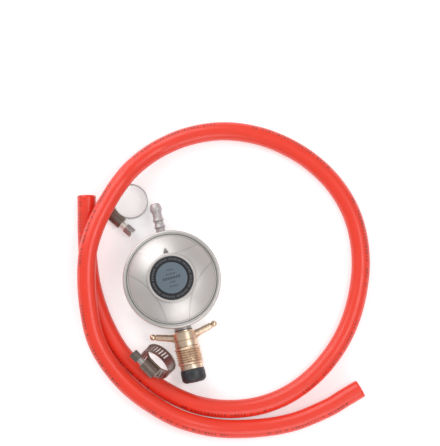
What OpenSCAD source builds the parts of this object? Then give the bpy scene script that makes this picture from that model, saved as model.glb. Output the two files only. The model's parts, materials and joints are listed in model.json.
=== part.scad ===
// Low-pressure gas regulator set: a regulator, a one metre hose and two worm-drive clips, laid out loose.
// The regulator stands on its foot at the origin. +Y is the gas outlet, -Y the inlet, +Z is up.

/* [Regulator body] */
// Radius of the rolled rim
rim_r = 37; // [34:0.5:42]
// Height of the inlet and outlet axis above the foot
axis_z = 13; // [12.5:0.5:18]
// Radius of the flat foot
foot_r = 18; // [14:1:22]
// Thickness of the bowl's floor
floor_t = 3; // [2:0.25:3.5]
// Wall of the bowl
bowl_wall = 2.2; // [1.6:0.1:3]
// Radius of the inlet and outlet bosses
boss_r = 6.6; // [6.4:0.1:8]
// How far the inlet boss stands out past the rim
boss_out = 1.1; // [0.6:0.1:4]
// Thickness of the bowl's flange
flange_t = 3; // [2:0.25:4]

/* [Cover] */
// Wall of the rolled rim
rim_wall = 2.5; // [1.5:0.1:3]
// Thickness of the lip rolled under the flange
lip_t = 1.4; // [0.8:0.1:2]
// Height of the rim above the diaphragm
rim_rise = 4.8; // [4:0.2:7]
// Width of the flat shoulder between rim and dome
shoulder_w = 3.4; // [2:0.1:5]
// Rise of the dome from its edge to the bonnet
dome_rise = 10; // [8:0.5:13]
// Wall of the dome
cover_wall = 2.3; // [1.6:0.1:3]
// Depth of the three moulded crescents beside the bonnet
crescent_step = 0.9; // [0.4:0.1:1.4]
// Radius of the arc that bounds a crescent
crescent_r = 52.7; // [40:0.5:70]
// Turn of the first crescent
crescent_turn = 86; // [0:1:119]
// Height of the bonnet above the dome
bonnet_h = 2; // [1:0.1:4]
// Wall of the bonnet's collar round the cap
bonnet_wall = 1.8; // [1:0.1:3]
// Height of the moulded flow arrow
arrow_h = 0.6; // [0.3:0.1:1]

/* [Cap and spring] */
// Radius of the closing cap
cap_r = 16.4; // [15.5:0.1:17.5]
// How far the cap stands above the bonnet
cap_proud = 1.2; // [0.6:0.1:2.5]
// Radius of the label disc
label_r = 11.8; // [8:0.1:13]
// Mean radius of the main spring
spring_r = 10.4; // [9:0.1:10.6]
// Wire of the main spring
wire_d = 1.2; // [0.8:0.1:1.6]
// Length of the main spring as fitted
spring_len = 9.3; // [8:0.1:10]
// Turns of the main spring
spring_turns = 3.25; // [2:0.25:4]
// Thickness of the adjusting screw
adjuster_t = 2.8; // [2:0.1:3]

/* [Diaphragm and valve] */
// Travel of the diaphragm
lift = 3; // [2:0.1:3.2]
// Thickness of the diaphragm
diaphragm_t = 1.2; // [0.8:0.1:1.6]
// Width of the clamped edge of the diaphragm
clamp_w = 3.4; // [2.5:0.1:4.5]
// Height of the diaphragm's roll
roll_h = 2.6; // [1.5:0.1:3]
// Width of the diaphragm's roll
roll_w = 6; // [4:0.25:7]
// Radius of the diaphragm plate
plate_r = 21; // [15:0.5:22]
// Thickness of the diaphragm plate
plate_t = 1; // [0.6:0.1:1.5]
// Radius of the stem below the diaphragm
stem_r = 3.2; // [3:0.1:4]
// Radius of the stem's threaded shank
shank_r = 2; // [1.5:0.1:2.5]
// Long arm of the lever, from the pin to the stem
long_arm = 14; // [13:0.25:15]
// Short arm of the lever, from the pin up to the plunger
short_arm = 6.4; // [6.2:0.1:6.6]
// Width of the lever's arms
arm_w = 2.8; // [2:0.1:3]
// Thickness of the lever's long arm
arm_t = 1.6; // [1.2:0.1:1.8]
// Radius of the lever's pin
pin_r = 1.2; // [0.8:0.1:1.4]
// Radius of the valve plunger
plunger_r = 3.5; // [3.2:0.1:3.6]
// Gap that is left at the nozzle when the diaphragm is fully up
nozzle_gap = 0.25; // [0.15:0.05:0.5]

/* [Inlet] */
// Outer diameter of the inlet's left-hand thread
thread_d = 20; // [18:0.5:24]
// Length of the thread
thread_len = 13.9; // [10:0.1:18]
// Radius of the plain collar of the wing nut
collar_r = 9; // [8.6:0.1:11]
// Length of the collar
collar_len = 11.4; // [9:0.1:14]
// Reach of a wing from the nut's axis
wing_reach = 26; // [20:0.5:30]
// Radius of a wing where it leaves the collar
wing_root_r = 2.75; // [2:0.05:3.2]
// Radius of a wing's round end
wing_tip_r = 2.4; // [1.5:0.05:3]
// How far a wing's end is swept towards the body
wing_sweep = 4.9; // [0:0.1:5.2]
// Radius of the nipple's shank inside the nut
nipple_r = 6; // [5.6:0.1:6.3]
// Radius of the gas passage
gas_r = 3; // [2:0.1:3.5]
// Radius of the rubber nose
nose_r = 9.3; // [8.5:0.1:11]
// Length of the rubber nose
nose_len = 9.9; // [8.5:0.1:13]

/* [Outlet barb] */
// Radius of the barb's round end
bulb_r = 4.45; // [4.2:0.05:5]
// Radius of the barb's two ridges
ridge_r = 4.3; // [3.9:0.05:4.6]
// Radius of the barb's neck
neck_r = 3.5; // [3.3:0.05:3.8]
// How far the barb stands out past the rim
barb_out = 23; // [20:0.5:30]
// Radius of the barb's bore
barb_bore_r = 2.5; // [1.5:0.1:2.8]

/* [Clips] */
// Inner radius of a clip's band
clip_r = 12.45; // [11:0.05:15]
// Width of the band
band_w = 9; // [8:0.25:11]
// Thickness of the band
band_t = 0.7; // [0.5:0.05:0.9]
// Radius of the screw's thread
worm_r = 3.1; // [2.8:0.05:3.4]
// Radius of the screw's neck
worm_neck_r = 2.6; // [1.8:0.05:2.7]
// Length of the housing
housing_len = 12; // [10:0.25:14]
// Wall of the housing
housing_wall = 0.9; // [0.6:0.05:1.2]
// Length of the bare neck between housing and head
neck_len = 4.3; // [3:0.1:7]
// Length of the screw's hexagonal head
head_len = 6.9; // [4:0.1:8]
// Width across the head's corners, halved
head_r = 4.1; // [3.6:0.05:4.6]
// Pitch of the slots in the band, in degrees
slot_step = 11.5; // [9:0.5:15]

/* [Hose] */
// Outer diameter of the hose
hose_d = 14; // [12:0.25:14.25]
// Bore of the hose
hose_bore = 8; // [6:0.25:9]

/* [Hidden] */

// Round faces, and an overlap that lets one cut pass through another's face
$fn = 64;
eps = 0.05;
// Clearances: a close seat, a turning shaft, a loose moving part
seat_fit = 0.05;
shaft_fit = 0.04;
loose_fit = 0.2;
turn_fit = 0.3;
// Clearance of the rim's lip above the bosses
lip_fit = 0.4;
// Clearance of the rolled rim round the flange
rim_fit = 0.1;

// Radii of the bowl, its flange and its chamber
flange_r = rim_r - rim_wall - rim_fit;
chamber_r = flange_r - clamp_w;
bowl_r = chamber_r + bowl_wall;
bowl_arc = bowl_r - foot_r;
chamber_step = 2;
chamber_arc = chamber_r - foot_r - chamber_step;
// Heights of the rim and the diaphragm
lip_z = axis_z + boss_r + lip_fit;
flange_z = lip_z + lip_t + rim_fit;
diaphragm_z = flange_z + flange_t;
clamp_z = diaphragm_z + diaphragm_t;
rim_top = clamp_z + rim_rise;
rim_round = 1.4;
lip_round = 0.8;
// Groove between the rim and the dome
groove_w = 0.7;
groove_depth = 0.5;

// The dome is part of a ball through its edge and the bonnet's foot, and the crescents lie on a flatter one
bonnet_r = cap_r + loose_fit + bonnet_wall;
dome_r = rim_r - shoulder_w;
function dome_drop(edge, rise) = (edge * edge - bonnet_r * bonnet_r - rise * rise) / (2 * rise);
function dome_ball(edge, rise) = sqrt(edge * edge + dome_drop(edge, rise) * dome_drop(edge, rise));
crescent_inset = 0.4;
low_rise = dome_rise - crescent_step;
low_r = dome_r - crescent_inset;
crescent_bite = 0.5;
crescent_foot = 0.1;
bonnet_top = rim_top + dome_rise + bonnet_h;
bonnet_chamfer = 0.8;
cap_sink = 1.4;
cap_seat = bonnet_top - cap_sink;
cap_top = bonnet_top + cap_proud;
cap_chamfer = 0.5;
label_t = 0.6;
label_sink = 0.4;
// The flow arrow lies between the bonnet and the rim
arrow_y = bonnet_r + 3.4;
arrow_l = 3.6;
arrow_w = 3.6;
// Groove that lets the space above the diaphragm breathe under the cap
vent_w = 1.6;
vent_depth = 0.6;

// Spring, plate and adjusting screw
plate_top = clamp_z + plate_t;
plate_rim_h = 2;
adjuster_z = plate_top + spring_len;
adjuster_top = adjuster_z + adjuster_t;
// What is left between the spring's turns when the diaphragm is fully up
spring_room = spring_len - lift - (spring_turns + 1) * wire_d;
sleeve_bore = spring_r + wire_d / 2 + 2;
sleeve_wall = 2.2;
sleeve_z = adjuster_z - 2;
roll_mid = (plate_r + chamber_r) / 2;
roll_steps = 10;
nut_h = 3.2;
nut_r = shank_r * 2;
shank_end = 1;
stem_flange_r = 9;
stem_flange_t = 1.2;

// Lever and valve. The pin lies below the plunger, one long arm from the stem
pin_y = -long_arm;
pin_z = axis_z - short_arm;
eye_r = pin_r * 2;
eye_w = 8;
lug_t = 2.6;
nose_tip_r = 1.45;
short_tip_r = 1.55;
short_t = 1.4;
window_h = 2 * (nose_tip_r + loose_fit);
window_w = arm_w + 2 * loose_fit;
stem_foot = 1.2;
slot_reach = short_tip_r + loose_fit;
guide_r = plunger_r + shaft_fit;
guide_len = 3;
guide_w = 2 * (plunger_r + 2.4);
guide_cover = 1.5;
guide_gap = 0.9;
plunger_tail = 4.2;
pad_r = plunger_r - 0.5;
pad_t = 1.5;
pad_proud = 0.4;

// Distances along the inlet, from the middle of the body outwards
nozzle_d = chamber_r - 5.6;
nozzle_lip_r = 2.2;
nozzle_r = 1.2;
nozzle_cone = 2;
nozzle_len = 4.6;
nozzle_step = 0.8;
boss_inner = nozzle_d + nozzle_cone;
boss_end = rim_r + boss_out;
seal_t = 0.8;
nipple_shank_r = 5;
nipple_collar_r = nipple_r + 0.9;
nipple_collar_end = boss_end + seal_t + 1.5;
nut_gap = 0.8;
nut_start = boss_end + seal_t + nut_gap;
nut_sink = 2;
collar_end = nut_start + collar_len;
nut_end = collar_end + thread_len;
relief_len = 0.8;
nut_round = 0.6;
thread_r = thread_d / 2;
thread_lead = 1;
nipple_head = nut_end + 0.4;
nipple_head_r = nose_r - 0.5;
nose_start = nipple_head + 3.2;
spigot_r = gas_r + 2.5;
spigot_len = 5.4;
filter_r = gas_r + 1;
filter_t = 1.6;
nose_end = nose_start + nose_len;
nose_round = 3.5;
nose_taper = 0.3;
nose_taper_len = 2.5;
nose_hole_r = gas_r + 0.5;
wing_root_d = nut_start + 3.8;
wing_root_x = 6.8;
wing_run = wing_reach - wing_tip_r - wing_root_x;
wing_turn = atan2(wing_sweep, wing_run);
wing_len = norm([wing_run, wing_sweep]);
// Distance of the valve pad's face: the lever closes the gap as the diaphragm rises
valve_gap = lift * short_arm / long_arm + nozzle_gap;
pad_face = nozzle_d - valve_gap;
plunger_front = pad_face - pad_proud;

// Distances along the outlet, from the middle of the body outwards
barb_start = chamber_r - 2;
barb_boss_end = rim_r - 1;
barb_shank_r = bulb_r - 0.15;
barb_end = rim_r + barb_out;
bulb_d = barb_end - 4.6;
bulb_land = 2;
bulb_lead = 1.8;
bulb_nose = 1.6;
bulb_taper = 0.5;
bulb_round = 1.3;
// Each ridge has a steep back towards the regulator and a long slope towards the barb's end
ridge_back = 0.3;
ridge_land = 0.4;
ridge_run = 2.8;
ridge_first = 4.3;
ridge_step = 5.2;
ridge_d = [rim_r + ridge_first, rim_r + ridge_first + ridge_step];

// A clip in its own frame: the band's axis is Z, the housing lies on +X and the screw's head on +Y
tail_r = clip_r + band_t + seat_fit;
tail_out = tail_r + band_t;
tail_from = -62;
tail_to = 24;
bridge_span = 4;
worm_x = tail_out + turn_fit + worm_r;
arch_in = worm_r + turn_fit;
arch_out = arch_in + housing_wall;
skirt_t = 0.7;
saddle_x = tail_out + 1.1;
housing_w = band_w + 2 * (seat_fit + skirt_t);
end_wall = 1;
worm_gap = 0.2;
worm_sink = 0.4;
head_from = housing_len / 2 + neck_len;
head_slot_w = 1.4;
head_slot_depth = 2.2;
slot_w = 1.1;
slot_len = band_w * 0.6;
slot_tilt = 10;
slot_first = 36;
slot_count = 14;
tail_slot_first = -32;
tail_slot_count = 3;
floor_gap = 0.1;

// Route of the hose from its end beside the first clip, once and a half round the regulator.
// Each point is a place on the floor and the hose's height above it
hose_route = [
    [-49, 78, 0], [-52, 64, 0], [-55, 50, 0], [-59, 26, 0], [-60, 4, 0], [-57, -20, 0], [-50, -43, 0],
    [-38, -63, 0], [-22, -81, 0], [-1, -96, 0], [24, -104.5, 0], [50, -106, 0], [75, -100, 0],
    [98, -87, 0], [118, -68, 0], [133, -44, 0], [143, -15, 0], [144.5, 16, 0], [136, 45, 0],
    [118, 71, 0], [93, 91, 0], [65, 102.5, 0], [37, 105, 0], [12, 100.5, 0.5], [-8, 91.5, 5.5],
    [-22, 81, 10.5], [-35, 68, 12], [-47, 53, 14], [-57, 35, 15], [-63, 14, 14.5], [-66, -8, 13],
    [-66, -30, 11], [-60.5, -50, 9.5], [-50, -70, 8], [-35, -88, 6.5], [-16, -104, 4.5], [9, -116, 1],
    [38, -122.5, 0], [66, -124, 0], [93, -119.5, 0], [107, -115, 0], [121, -110.5, 0]];

// The first clip lies flat beside the barb and the hose's first end, the second leans beside the inlet
// with its housing uppermost
clip_1_gap = 0.5;
clip_1_back = 11.7;
clip_1_at = [-(bulb_r + clip_r + clip_1_gap), hose_route[0][1] - clip_1_back, housing_w / 2 + floor_gap];
clip_1_turn = 216;
clip_2_lean = 57;
clip_2_turn = 32;
clip_2_z = (clip_r + band_t) * sin(clip_2_lean) + band_w / 2 * cos(clip_2_lean) + floor_gap;
clip_2_gap = 1.3;
clip_2_wing_gap = 1.05;
clip_2_at = [-(thread_r + clip_r + clip_2_gap), -(wing_root_d + clip_r + clip_2_wing_gap), clip_2_z];

// Sweep of the hose: it runs a little past both ends, and the cuts there leave flat faces and true bores
hose_sides = 12;
route_steps = 2;
drill_skin = 0.1;
drill_start = 1;
end_spare = 0.5;
hose_floor = hose_d / 2 + floor_gap;
hose_line = [for (p = hose_route) p + [0, 0, hose_floor]];
hose_last = len(hose_line) - 1;

// Sweep of a round tube along points
function unit(v) = v / norm(v);
function blend_at(a, b, c, d, t) =
    (2 * b + (c - a) * t + (2 * a - 5 * b + 4 * c - d) * t * t + (3 * b - a - 3 * c + d) * t * t * t) / 2;
function smooth_route(p, steps) = [
    for (i = [1 : len(p) - 3])
        for (k = [0 : i == len(p) - 3 ? steps : steps - 1])
            blend_at(p[i - 1], p[i], p[i + 1], p[i + 2], k / steps)];
function tangent(p, i, first, last) =
    i == 0 ? unit(first) : i == len(p) - 1 ? unit(last) : unit(p[i + 1] - p[i - 1]);
function ring_at(c, along, r, sides) =
    let (side = unit(cross(along, [0, 0, 1])), up = cross(side, along))
        [for (k = [0 : sides - 1]) c + r * (cos(360 * k / sides) * side + sin(360 * k / sides) * up)];
function flat_list(lists) = [for (l = lists) for (v = l) v];
function wall_faces(from, rings, sides, flip) = [
    for (i = [0 : rings - 2])
        for (k = [0 : sides - 1])
            let (a = from + i * sides + k, b = from + i * sides + (k + 1) % sides)
                for (f = [[a, a + sides, b], [b, a + sides, b + sides]])
                    flip ? [f[0], f[2], f[1]] : f];
function end_faces(outer, inner, sides, flip) = [
    for (k = [0 : sides - 1])
        let (n = (k + 1) % sides)
            for (f = [[outer + k, outer + n, inner + k], [outer + n, inner + n, inner + k]])
                flip ? [f[0], f[2], f[1]] : f];

hose_path = concat([hose_line[0]], smooth_route(hose_line, route_steps), [hose_line[hose_last]]);
hose_first = hose_line[1] - hose_line[0];
hose_final = hose_line[hose_last] - hose_line[hose_last - 1];
function path_length(p) = len(p) < 2 ? 0 : [for (i = 1, s = norm(p[1] - p[0]); i < len(p);
    i = i + 1, s = i < len(p) ? s + norm(p[i] - p[i - 1]) : s) s][len(p) - 2];
hose_sweep = concat(
    [hose_line[0] - end_spare * unit(hose_first)],
    smooth_route(hose_line, route_steps),
    [hose_line[hose_last] + end_spare * unit(hose_final)]);
hose_len = path_length(hose_path);
// Least gap between parts of the hose that are more than a fifth of a turn apart
apart = 14;
hose_gap = min([for (i = [0 : len(hose_path) - apart - 1])
    for (j = [i + apart : len(hose_path) - 1]) norm(hose_path[i] - hose_path[j])]) - hose_d;
echo(hose_length = hose_len, hose_least_gap_to_itself = hose_gap, spring_room = spring_room);

// The inlet and the outlet as frames whose Z runs outwards along the gas passage
module inlet() {
    translate([0, 0, axis_z])
        rotate([90, 0, 0])
            children();
}

module outlet() {
    translate([0, 0, axis_z])
        rotate([-90, 0, 0])
            children();
}

module bar_x(r, w) {
    rotate([0, 90, 0])
        cylinder(r = r, h = w, center = true);
}

// Bowl below the diaphragm, with both bosses, the plunger's guide and the lever's lugs
module bowl_outside() {
    rotate_extrude()
        polygon(concat(
            [[0, 0]],
            [for (t = [0 : 10 : 90]) [foot_r + bowl_arc * sin(t), bowl_arc * (1 - cos(t))]],
            [[bowl_r, flange_z], [flange_r, flange_z], [flange_r, diaphragm_z], [0, diaphragm_z]]));
}

module bowl_inside() {
    rotate_extrude()
        polygon(concat(
            [[0, floor_t]],
            [for (t = [0 : 10 : 90])
                [chamber_r - chamber_arc * (1 - sin(t)), floor_t + chamber_arc * (1 - cos(t))]],
            [[chamber_r, diaphragm_z + eps], [0, diaphragm_z + eps]]));
}

module valve_mounting() {
    block_h = axis_z + plunger_r + guide_cover - floor_t;
    guide_y = pin_y - eye_r - loose_fit - guide_gap;
    translate([-guide_w / 2, guide_y - guide_len, floor_t - loose_fit])
        cube([guide_w, guide_len, block_h]);
    for (s = [-1, 1])
        translate([s * (eye_w / 2 + loose_fit + lug_t / 2) - lug_t / 2, guide_y - eps, floor_t - loose_fit])
            cube([lug_t, pin_y + eye_r - guide_y, pin_z + eye_r - floor_t]);
}

module lower_body() {
    color("lightgray")
        difference() {
            union() {
                difference() {
                    bowl_outside();
                    bowl_inside();
                }
                inlet()
                    translate([0, 0, boss_inner])
                        cylinder(r = boss_r, h = boss_end - boss_inner);
                outlet()
                    translate([0, 0, barb_start])
                        cylinder(r = boss_r, h = barb_boss_end - barb_start);
                valve_mounting();
            }
            inlet()
                translate([0, 0, boss_inner - eps])
                    cylinder(r = nipple_shank_r + seat_fit, h = boss_end - boss_inner + 2 * eps);
            outlet()
                translate([0, 0, barb_start - eps])
                    cylinder(r = barb_shank_r + seat_fit, h = barb_boss_end - barb_start + 2 * eps);
            inlet()
                cylinder(r = guide_r, h = nozzle_d - eps);
            translate([0, pin_y, pin_z])
                bar_x(pin_r, eye_w + 2 * (loose_fit + lug_t) + 1);
        }
}

// Moulded cover: rolled rim, dome with three crescents, bonnet and flow arrow
module dome(edge, rise, grow = 0) {
    intersection() {
        translate([0, 0, rim_top - dome_drop(edge, rise)])
            sphere(r = dome_ball(edge, rise) + grow);
        translate([0, 0, rim_top - eps])
            cylinder(r = dome_r, h = dome_rise + bonnet_h);
    }
}

module crescent_cut() {
    difference() {
        translate([bonnet_r + crescent_r - crescent_bite, 0, rim_top + crescent_foot])
            cylinder(r = crescent_r, h = dome_rise + bonnet_h);
        translate([0, 0, rim_top - dome_drop(low_r, low_rise)])
            sphere(r = dome_ball(low_r, low_rise));
    }
}

module rim_outside() {
    rotate_extrude()
        polygon(concat(
            [[0, lip_z], [rim_r - lip_round, lip_z], [rim_r, lip_z + lip_round]],
            [for (t = [0 : 15 : 90])
                [rim_r - rim_round * (1 - cos(t)), rim_top - rim_round * (1 - sin(t))]],
            [[dome_r + groove_w, rim_top], [dome_r + groove_w / 2, rim_top - groove_depth],
                [dome_r, rim_top], [0, rim_top]]));
}

module bonnet() {
    translate([0, 0, rim_top])
        cylinder(r = bonnet_r, h = dome_rise + bonnet_h - bonnet_chamfer);
    translate([0, 0, bonnet_top - bonnet_chamfer])
        cylinder(r1 = bonnet_r, r2 = bonnet_r - bonnet_chamfer, h = bonnet_chamfer);
}

module flow_arrow() {
    intersection() {
        translate([0, arrow_y, rim_top])
            linear_extrude(dome_rise + bonnet_h)
                polygon([[0, arrow_l / 2], [arrow_w / 2, -arrow_l / 2], [-arrow_w / 2, -arrow_l / 2]]);
        dome(low_r, low_rise, arrow_h);
    }
}

module cover() {
    color("silver")
        difference() {
            union() {
                difference() {
                    union() {
                        difference() {
                            union() {
                                rim_outside();
                                dome(dome_r, dome_rise);
                            }
                            for (k = [0 : 2])
                                rotate([0, 0, crescent_turn + 120 * k])
                                    crescent_cut();
                        }
                        bonnet();
                        flow_arrow();
                    }
                    translate([0, 0, lip_z - eps])
                        cylinder(r = bowl_r + rim_fit, h = lip_t + 2 * eps);
                    translate([0, 0, lip_z + lip_t])
                        cylinder(r = flange_r + rim_fit, h = clamp_z - lip_z - lip_t);
                    intersection() {
                        translate([0, 0, rim_top - dome_drop(low_r, low_rise)])
                            sphere(r = dome_ball(low_r, low_rise) - cover_wall);
                        translate([0, 0, clamp_z - eps])
                            cylinder(r = chamber_r, h = bonnet_top - clamp_z);
                    }
                }
                translate([0, 0, sleeve_z])
                    cylinder(r = sleeve_bore + sleeve_wall, h = cap_seat - sleeve_z);
            }
            translate([0, 0, clamp_z])
                cylinder(r = sleeve_bore, h = bonnet_top - clamp_z + eps);
            translate([0, 0, cap_seat])
                cylinder(r = cap_r + loose_fit, h = cap_sink + eps);
            translate([0, -vent_w / 2, cap_seat - vent_depth])
                cube([cap_r + loose_fit, vent_w, vent_depth + eps]);
        }
}

module closing_cap() {
    color("#2d2d34")
        difference() {
            rotate_extrude()
                polygon([[0, adjuster_top + loose_fit], [sleeve_bore - seat_fit, adjuster_top + loose_fit],
                    [sleeve_bore - seat_fit, cap_seat], [cap_r, cap_seat], [cap_r, cap_top - cap_chamfer],
                    [cap_r - cap_chamfer, cap_top], [0, cap_top]]);
            translate([0, 0, cap_top - label_sink])
                cylinder(r = label_r + seat_fit, h = label_sink + eps);
        }
}

module label_disc() {
    color("#7d8a94")
        translate([0, 0, cap_top - label_sink])
            cylinder(r = label_r, h = label_t);
}

module adjusting_screw() {
    slot = 2;
    color("darkkhaki")
        translate([0, 0, adjuster_z])
            difference() {
                cylinder(r = sleeve_bore - seat_fit, h = adjuster_t);
                for (turn = [0, 90])
                    rotate([0, 0, turn])
                        translate([-sleeve_bore * 0.6, -slot / 2, adjuster_t / 2])
                            cube([sleeve_bore * 1.2, slot, adjuster_t]);
                translate([0, 0, -eps])
                    cylinder(r = slot, h = adjuster_t + 2 * eps);
            }
}

// Helix of the main spring, with 12 rings a turn
module main_spring() {
    sides = 6;
    per_turn = 12;
    count = floor(spring_turns * per_turn);
    climb = (spring_len - wire_d - 2 * seat_fit) / count;
    centre = [for (i = [0 : count])
        [spring_r * cos(360 * i / per_turn), spring_r * sin(360 * i / per_turn),
            plate_top + seat_fit + wire_d / 2 + climb * i]];
    rings = [for (i = [0 : count])
        let (out = [cos(360 * i / per_turn), sin(360 * i / per_turn), 0])
            [for (k = [0 : sides - 1])
                centre[i] + wire_d / 2 * (cos(360 * k / sides) * out + [0, 0, sin(360 * k / sides)])]];
    caps = [[for (k = [0 : sides - 1]) k], [for (k = [sides - 1 : -1 : 0]) count * sides + k]];
    color("gainsboro")
        polyhedron(flat_list(rings), concat(caps, wall_faces(0, count + 1, sides, true)));
}

module diaphragm_plate() {
    color("gainsboro")
        translate([0, 0, clamp_z])
            difference() {
                cylinder(r = plate_r, h = plate_t + plate_rim_h);
                translate([0, 0, plate_t])
                    cylinder(r = plate_r - plate_t, h = plate_rim_h + eps);
                translate([0, 0, -eps])
                    cylinder(r = shank_r + seat_fit, h = plate_t + 2 * eps);
            }
}

// Rubber sheet, clamped at its edge, with one raised roll round the plate
function roll_z(k) = roll_h * pow(sin(180 * k / roll_steps), 2);
function roll_point(k) = roll_mid - roll_w / 2 + roll_w * k / roll_steps;

module diaphragm() {
    color("#33332f")
        rotate_extrude()
            polygon(concat(
                [[shank_r + seat_fit, diaphragm_z]],
                [for (k = [0 : roll_steps]) [roll_point(k), diaphragm_z + roll_z(k)]],
                [[flange_r, diaphragm_z], [flange_r, clamp_z]],
                [for (k = [roll_steps : -1 : 0]) [roll_point(k), clamp_z + roll_z(k)]],
                [[shank_r + seat_fit, clamp_z]]));
}

// Stud through diaphragm and plate, whose foot has a window for the lever's end
module diaphragm_stem() {
    stem_low = pin_z - window_h / 2 - stem_foot;
    color("goldenrod")
        difference() {
            union() {
                translate([0, 0, stem_low])
                    cylinder(r = stem_r, h = diaphragm_z - stem_low);
                translate([0, 0, diaphragm_z - stem_flange_t])
                    cylinder(r = stem_flange_r, h = stem_flange_t);
                translate([0, 0, diaphragm_z - eps])
                    cylinder(r = shank_r, h = plate_top - diaphragm_z + nut_h + shank_end + eps);
            }
            translate([-window_w / 2, -stem_r - eps, pin_z - window_h / 2])
                cube([window_w, 2 * (stem_r + eps), window_h]);
        }
}

module stem_nut() {
    color("gainsboro")
        translate([0, 0, plate_top])
            difference() {
                cylinder(r = nut_r, h = nut_h, $fn = 6);
                translate([0, 0, -eps])
                    cylinder(r = shank_r + seat_fit, h = nut_h + 2 * eps);
            }
}

// Bent lever: the long arm follows the stem, the short arm drives the plunger
module lever() {
    color("silver")
        difference() {
            union() {
                translate([0, pin_y, pin_z])
                    bar_x(eye_r, eye_w);
                translate([-arm_w / 2, pin_y, pin_z - arm_t / 2])
                    cube([arm_w, long_arm, arm_t]);
                translate([0, 0, pin_z])
                    bar_x(nose_tip_r, arm_w);
                translate([-arm_w / 2, pin_y - short_t / 2, pin_z])
                    cube([arm_w, short_t, short_arm]);
                translate([0, pin_y, axis_z])
                    bar_x(short_tip_r, arm_w);
            }
            translate([0, pin_y, pin_z])
                bar_x(pin_r + shaft_fit, eye_w + 1);
        }
}

module lever_pin() {
    color("gray")
        translate([0, pin_y, pin_z])
            bar_x(pin_r, eye_w + 2 * (loose_fit + lug_t));
}

module valve_plunger() {
    back = -pin_y - plunger_tail;
    color("goldenrod")
        difference() {
            inlet()
                translate([0, 0, back])
                    cylinder(r = plunger_r, h = plunger_front - back);
            inlet()
                translate([0, 0, pad_face - pad_t])
                    cylinder(r = pad_r + seat_fit, h = pad_t);
            translate([-window_w / 2, pin_y - slot_reach, axis_z - plunger_r - eps])
                cube([window_w, 2 * slot_reach, plunger_r + slot_reach + eps]);
        }
}

module valve_pad() {
    color("#33332f")
        inlet()
            translate([0, 0, pad_face - pad_t])
                cylinder(r = pad_r, h = pad_t);
}

// Brass stem of the inlet: nozzle inside the chamber, shank, head and spigot for the rubber nose
module inlet_nipple() {
    spigot_end = nose_start + spigot_len;
    color("darkgoldenrod")
        inlet()
            rotate_extrude()
                polygon([[nozzle_r, nozzle_d], [nozzle_lip_r, nozzle_d],
                    [nipple_shank_r - nozzle_step, boss_inner], [nipple_shank_r, boss_inner],
                    [nipple_shank_r, boss_end + seal_t], [nipple_collar_r, boss_end + seal_t],
                    [nipple_collar_r, nipple_collar_end], [nipple_r, nipple_collar_end],
                    [nipple_r, nipple_head], [nipple_head_r, nipple_head],
                    [nipple_head_r, nose_start], [spigot_r, nose_start], [spigot_r, spigot_end],
                    [filter_r + seat_fit, spigot_end], [filter_r + seat_fit, spigot_end - filter_t],
                    [gas_r, spigot_end - filter_t], [gas_r, nozzle_d + nozzle_len],
                    [nozzle_r, nozzle_d + nozzle_len]]);
}

module nipple_seal() {
    color("dimgray")
        inlet()
            translate([0, 0, boss_end])
                difference() {
                    cylinder(r = nipple_collar_r, h = seal_t);
                    translate([0, 0, -eps])
                        cylinder(r = nipple_shank_r + seat_fit, h = seal_t + 2 * eps);
                }
}

module inlet_filter() {
    color("tan")
        inlet()
            translate([0, 0, nose_start + spigot_len - filter_t])
                cylinder(r = filter_r, h = filter_t);
}

// Wing nut: plain collar with two swept wings, then the male thread
module wing() {
    translate([wing_root_x, 0, wing_root_d])
        rotate([0, 90 + wing_turn, 0]) {
            cylinder(r1 = wing_root_r, r2 = wing_tip_r * 0.92, h = wing_len);
            translate([0, 0, wing_len])
                sphere(r = wing_tip_r);
        }
}

module wing_nut() {
    color("#b08d57")
        inlet()
            difference() {
                union() {
                    rotate_extrude()
                        polygon([[0, nut_start], [collar_r - nut_round, nut_start],
                            [collar_r, nut_start + nut_round], [collar_r, collar_end - nut_round],
                            [collar_r - nut_round, collar_end],
                            [collar_r - nut_round, collar_end + relief_len],
                            [thread_r, collar_end + relief_len], [thread_r, nut_end - thread_lead],
                            [thread_r - thread_lead, nut_end], [0, nut_end]]);
                    wing();
                    mirror([1, 0, 0])
                        wing();
                }
                translate([0, 0, nut_start - eps])
                    cylinder(r = nipple_r + turn_fit, h = nut_end - nut_start + 2 * eps);
                translate([0, 0, nut_start - eps])
                    cylinder(r = nipple_collar_r + turn_fit, h = nut_sink + eps);
            }
}

module nose_seal() {
    spigot_end = nose_start + spigot_len;
    color("#2b2d30")
        inlet()
            rotate_extrude()
                polygon(concat(
                    [[spigot_r + seat_fit, nose_start], [nose_r - nose_taper, nose_start],
                        [nose_r, nose_start + nose_taper_len]],
                    [for (t = [0 : 15 : 90])
                        [nose_r - nose_round * (1 - cos(t)), nose_end - nose_round * (1 - sin(t))]],
                    [[nose_hole_r, nose_end], [nose_hole_r, spigot_end + seat_fit],
                        [spigot_r + seat_fit, spigot_end + seat_fit]]));
}

// Hose barb: two ridges and a long round end
module outlet_barb() {
    color("darkgray")
        outlet()
            rotate_extrude()
                polygon(concat(
                    [[barb_bore_r, barb_start], [barb_shank_r, barb_start], [barb_shank_r, barb_boss_end],
                        [neck_r, barb_boss_end]],
                    [for (d = ridge_d)
                        for (p = [[neck_r, -ridge_back], [ridge_r, 0], [ridge_r, ridge_land],
                            [neck_r, ridge_run]])
                            [p[0], d + p[1]]],
                    [[neck_r, bulb_d - bulb_land / 2 - bulb_lead], [bulb_r, bulb_d - bulb_land / 2],
                        [bulb_r, bulb_d + bulb_land / 2], [bulb_r - bulb_taper, barb_end - bulb_nose],
                        [bulb_r - bulb_round, barb_end], [barb_bore_r, barb_end]]));
}

// Clip pieces in the clip's own frame
module band_ring(r, from, to) {
    rotate([0, 0, from])
        rotate_extrude(angle = to - from)
            translate([r, -band_w / 2])
                square([band_t, band_w]);
}

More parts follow.
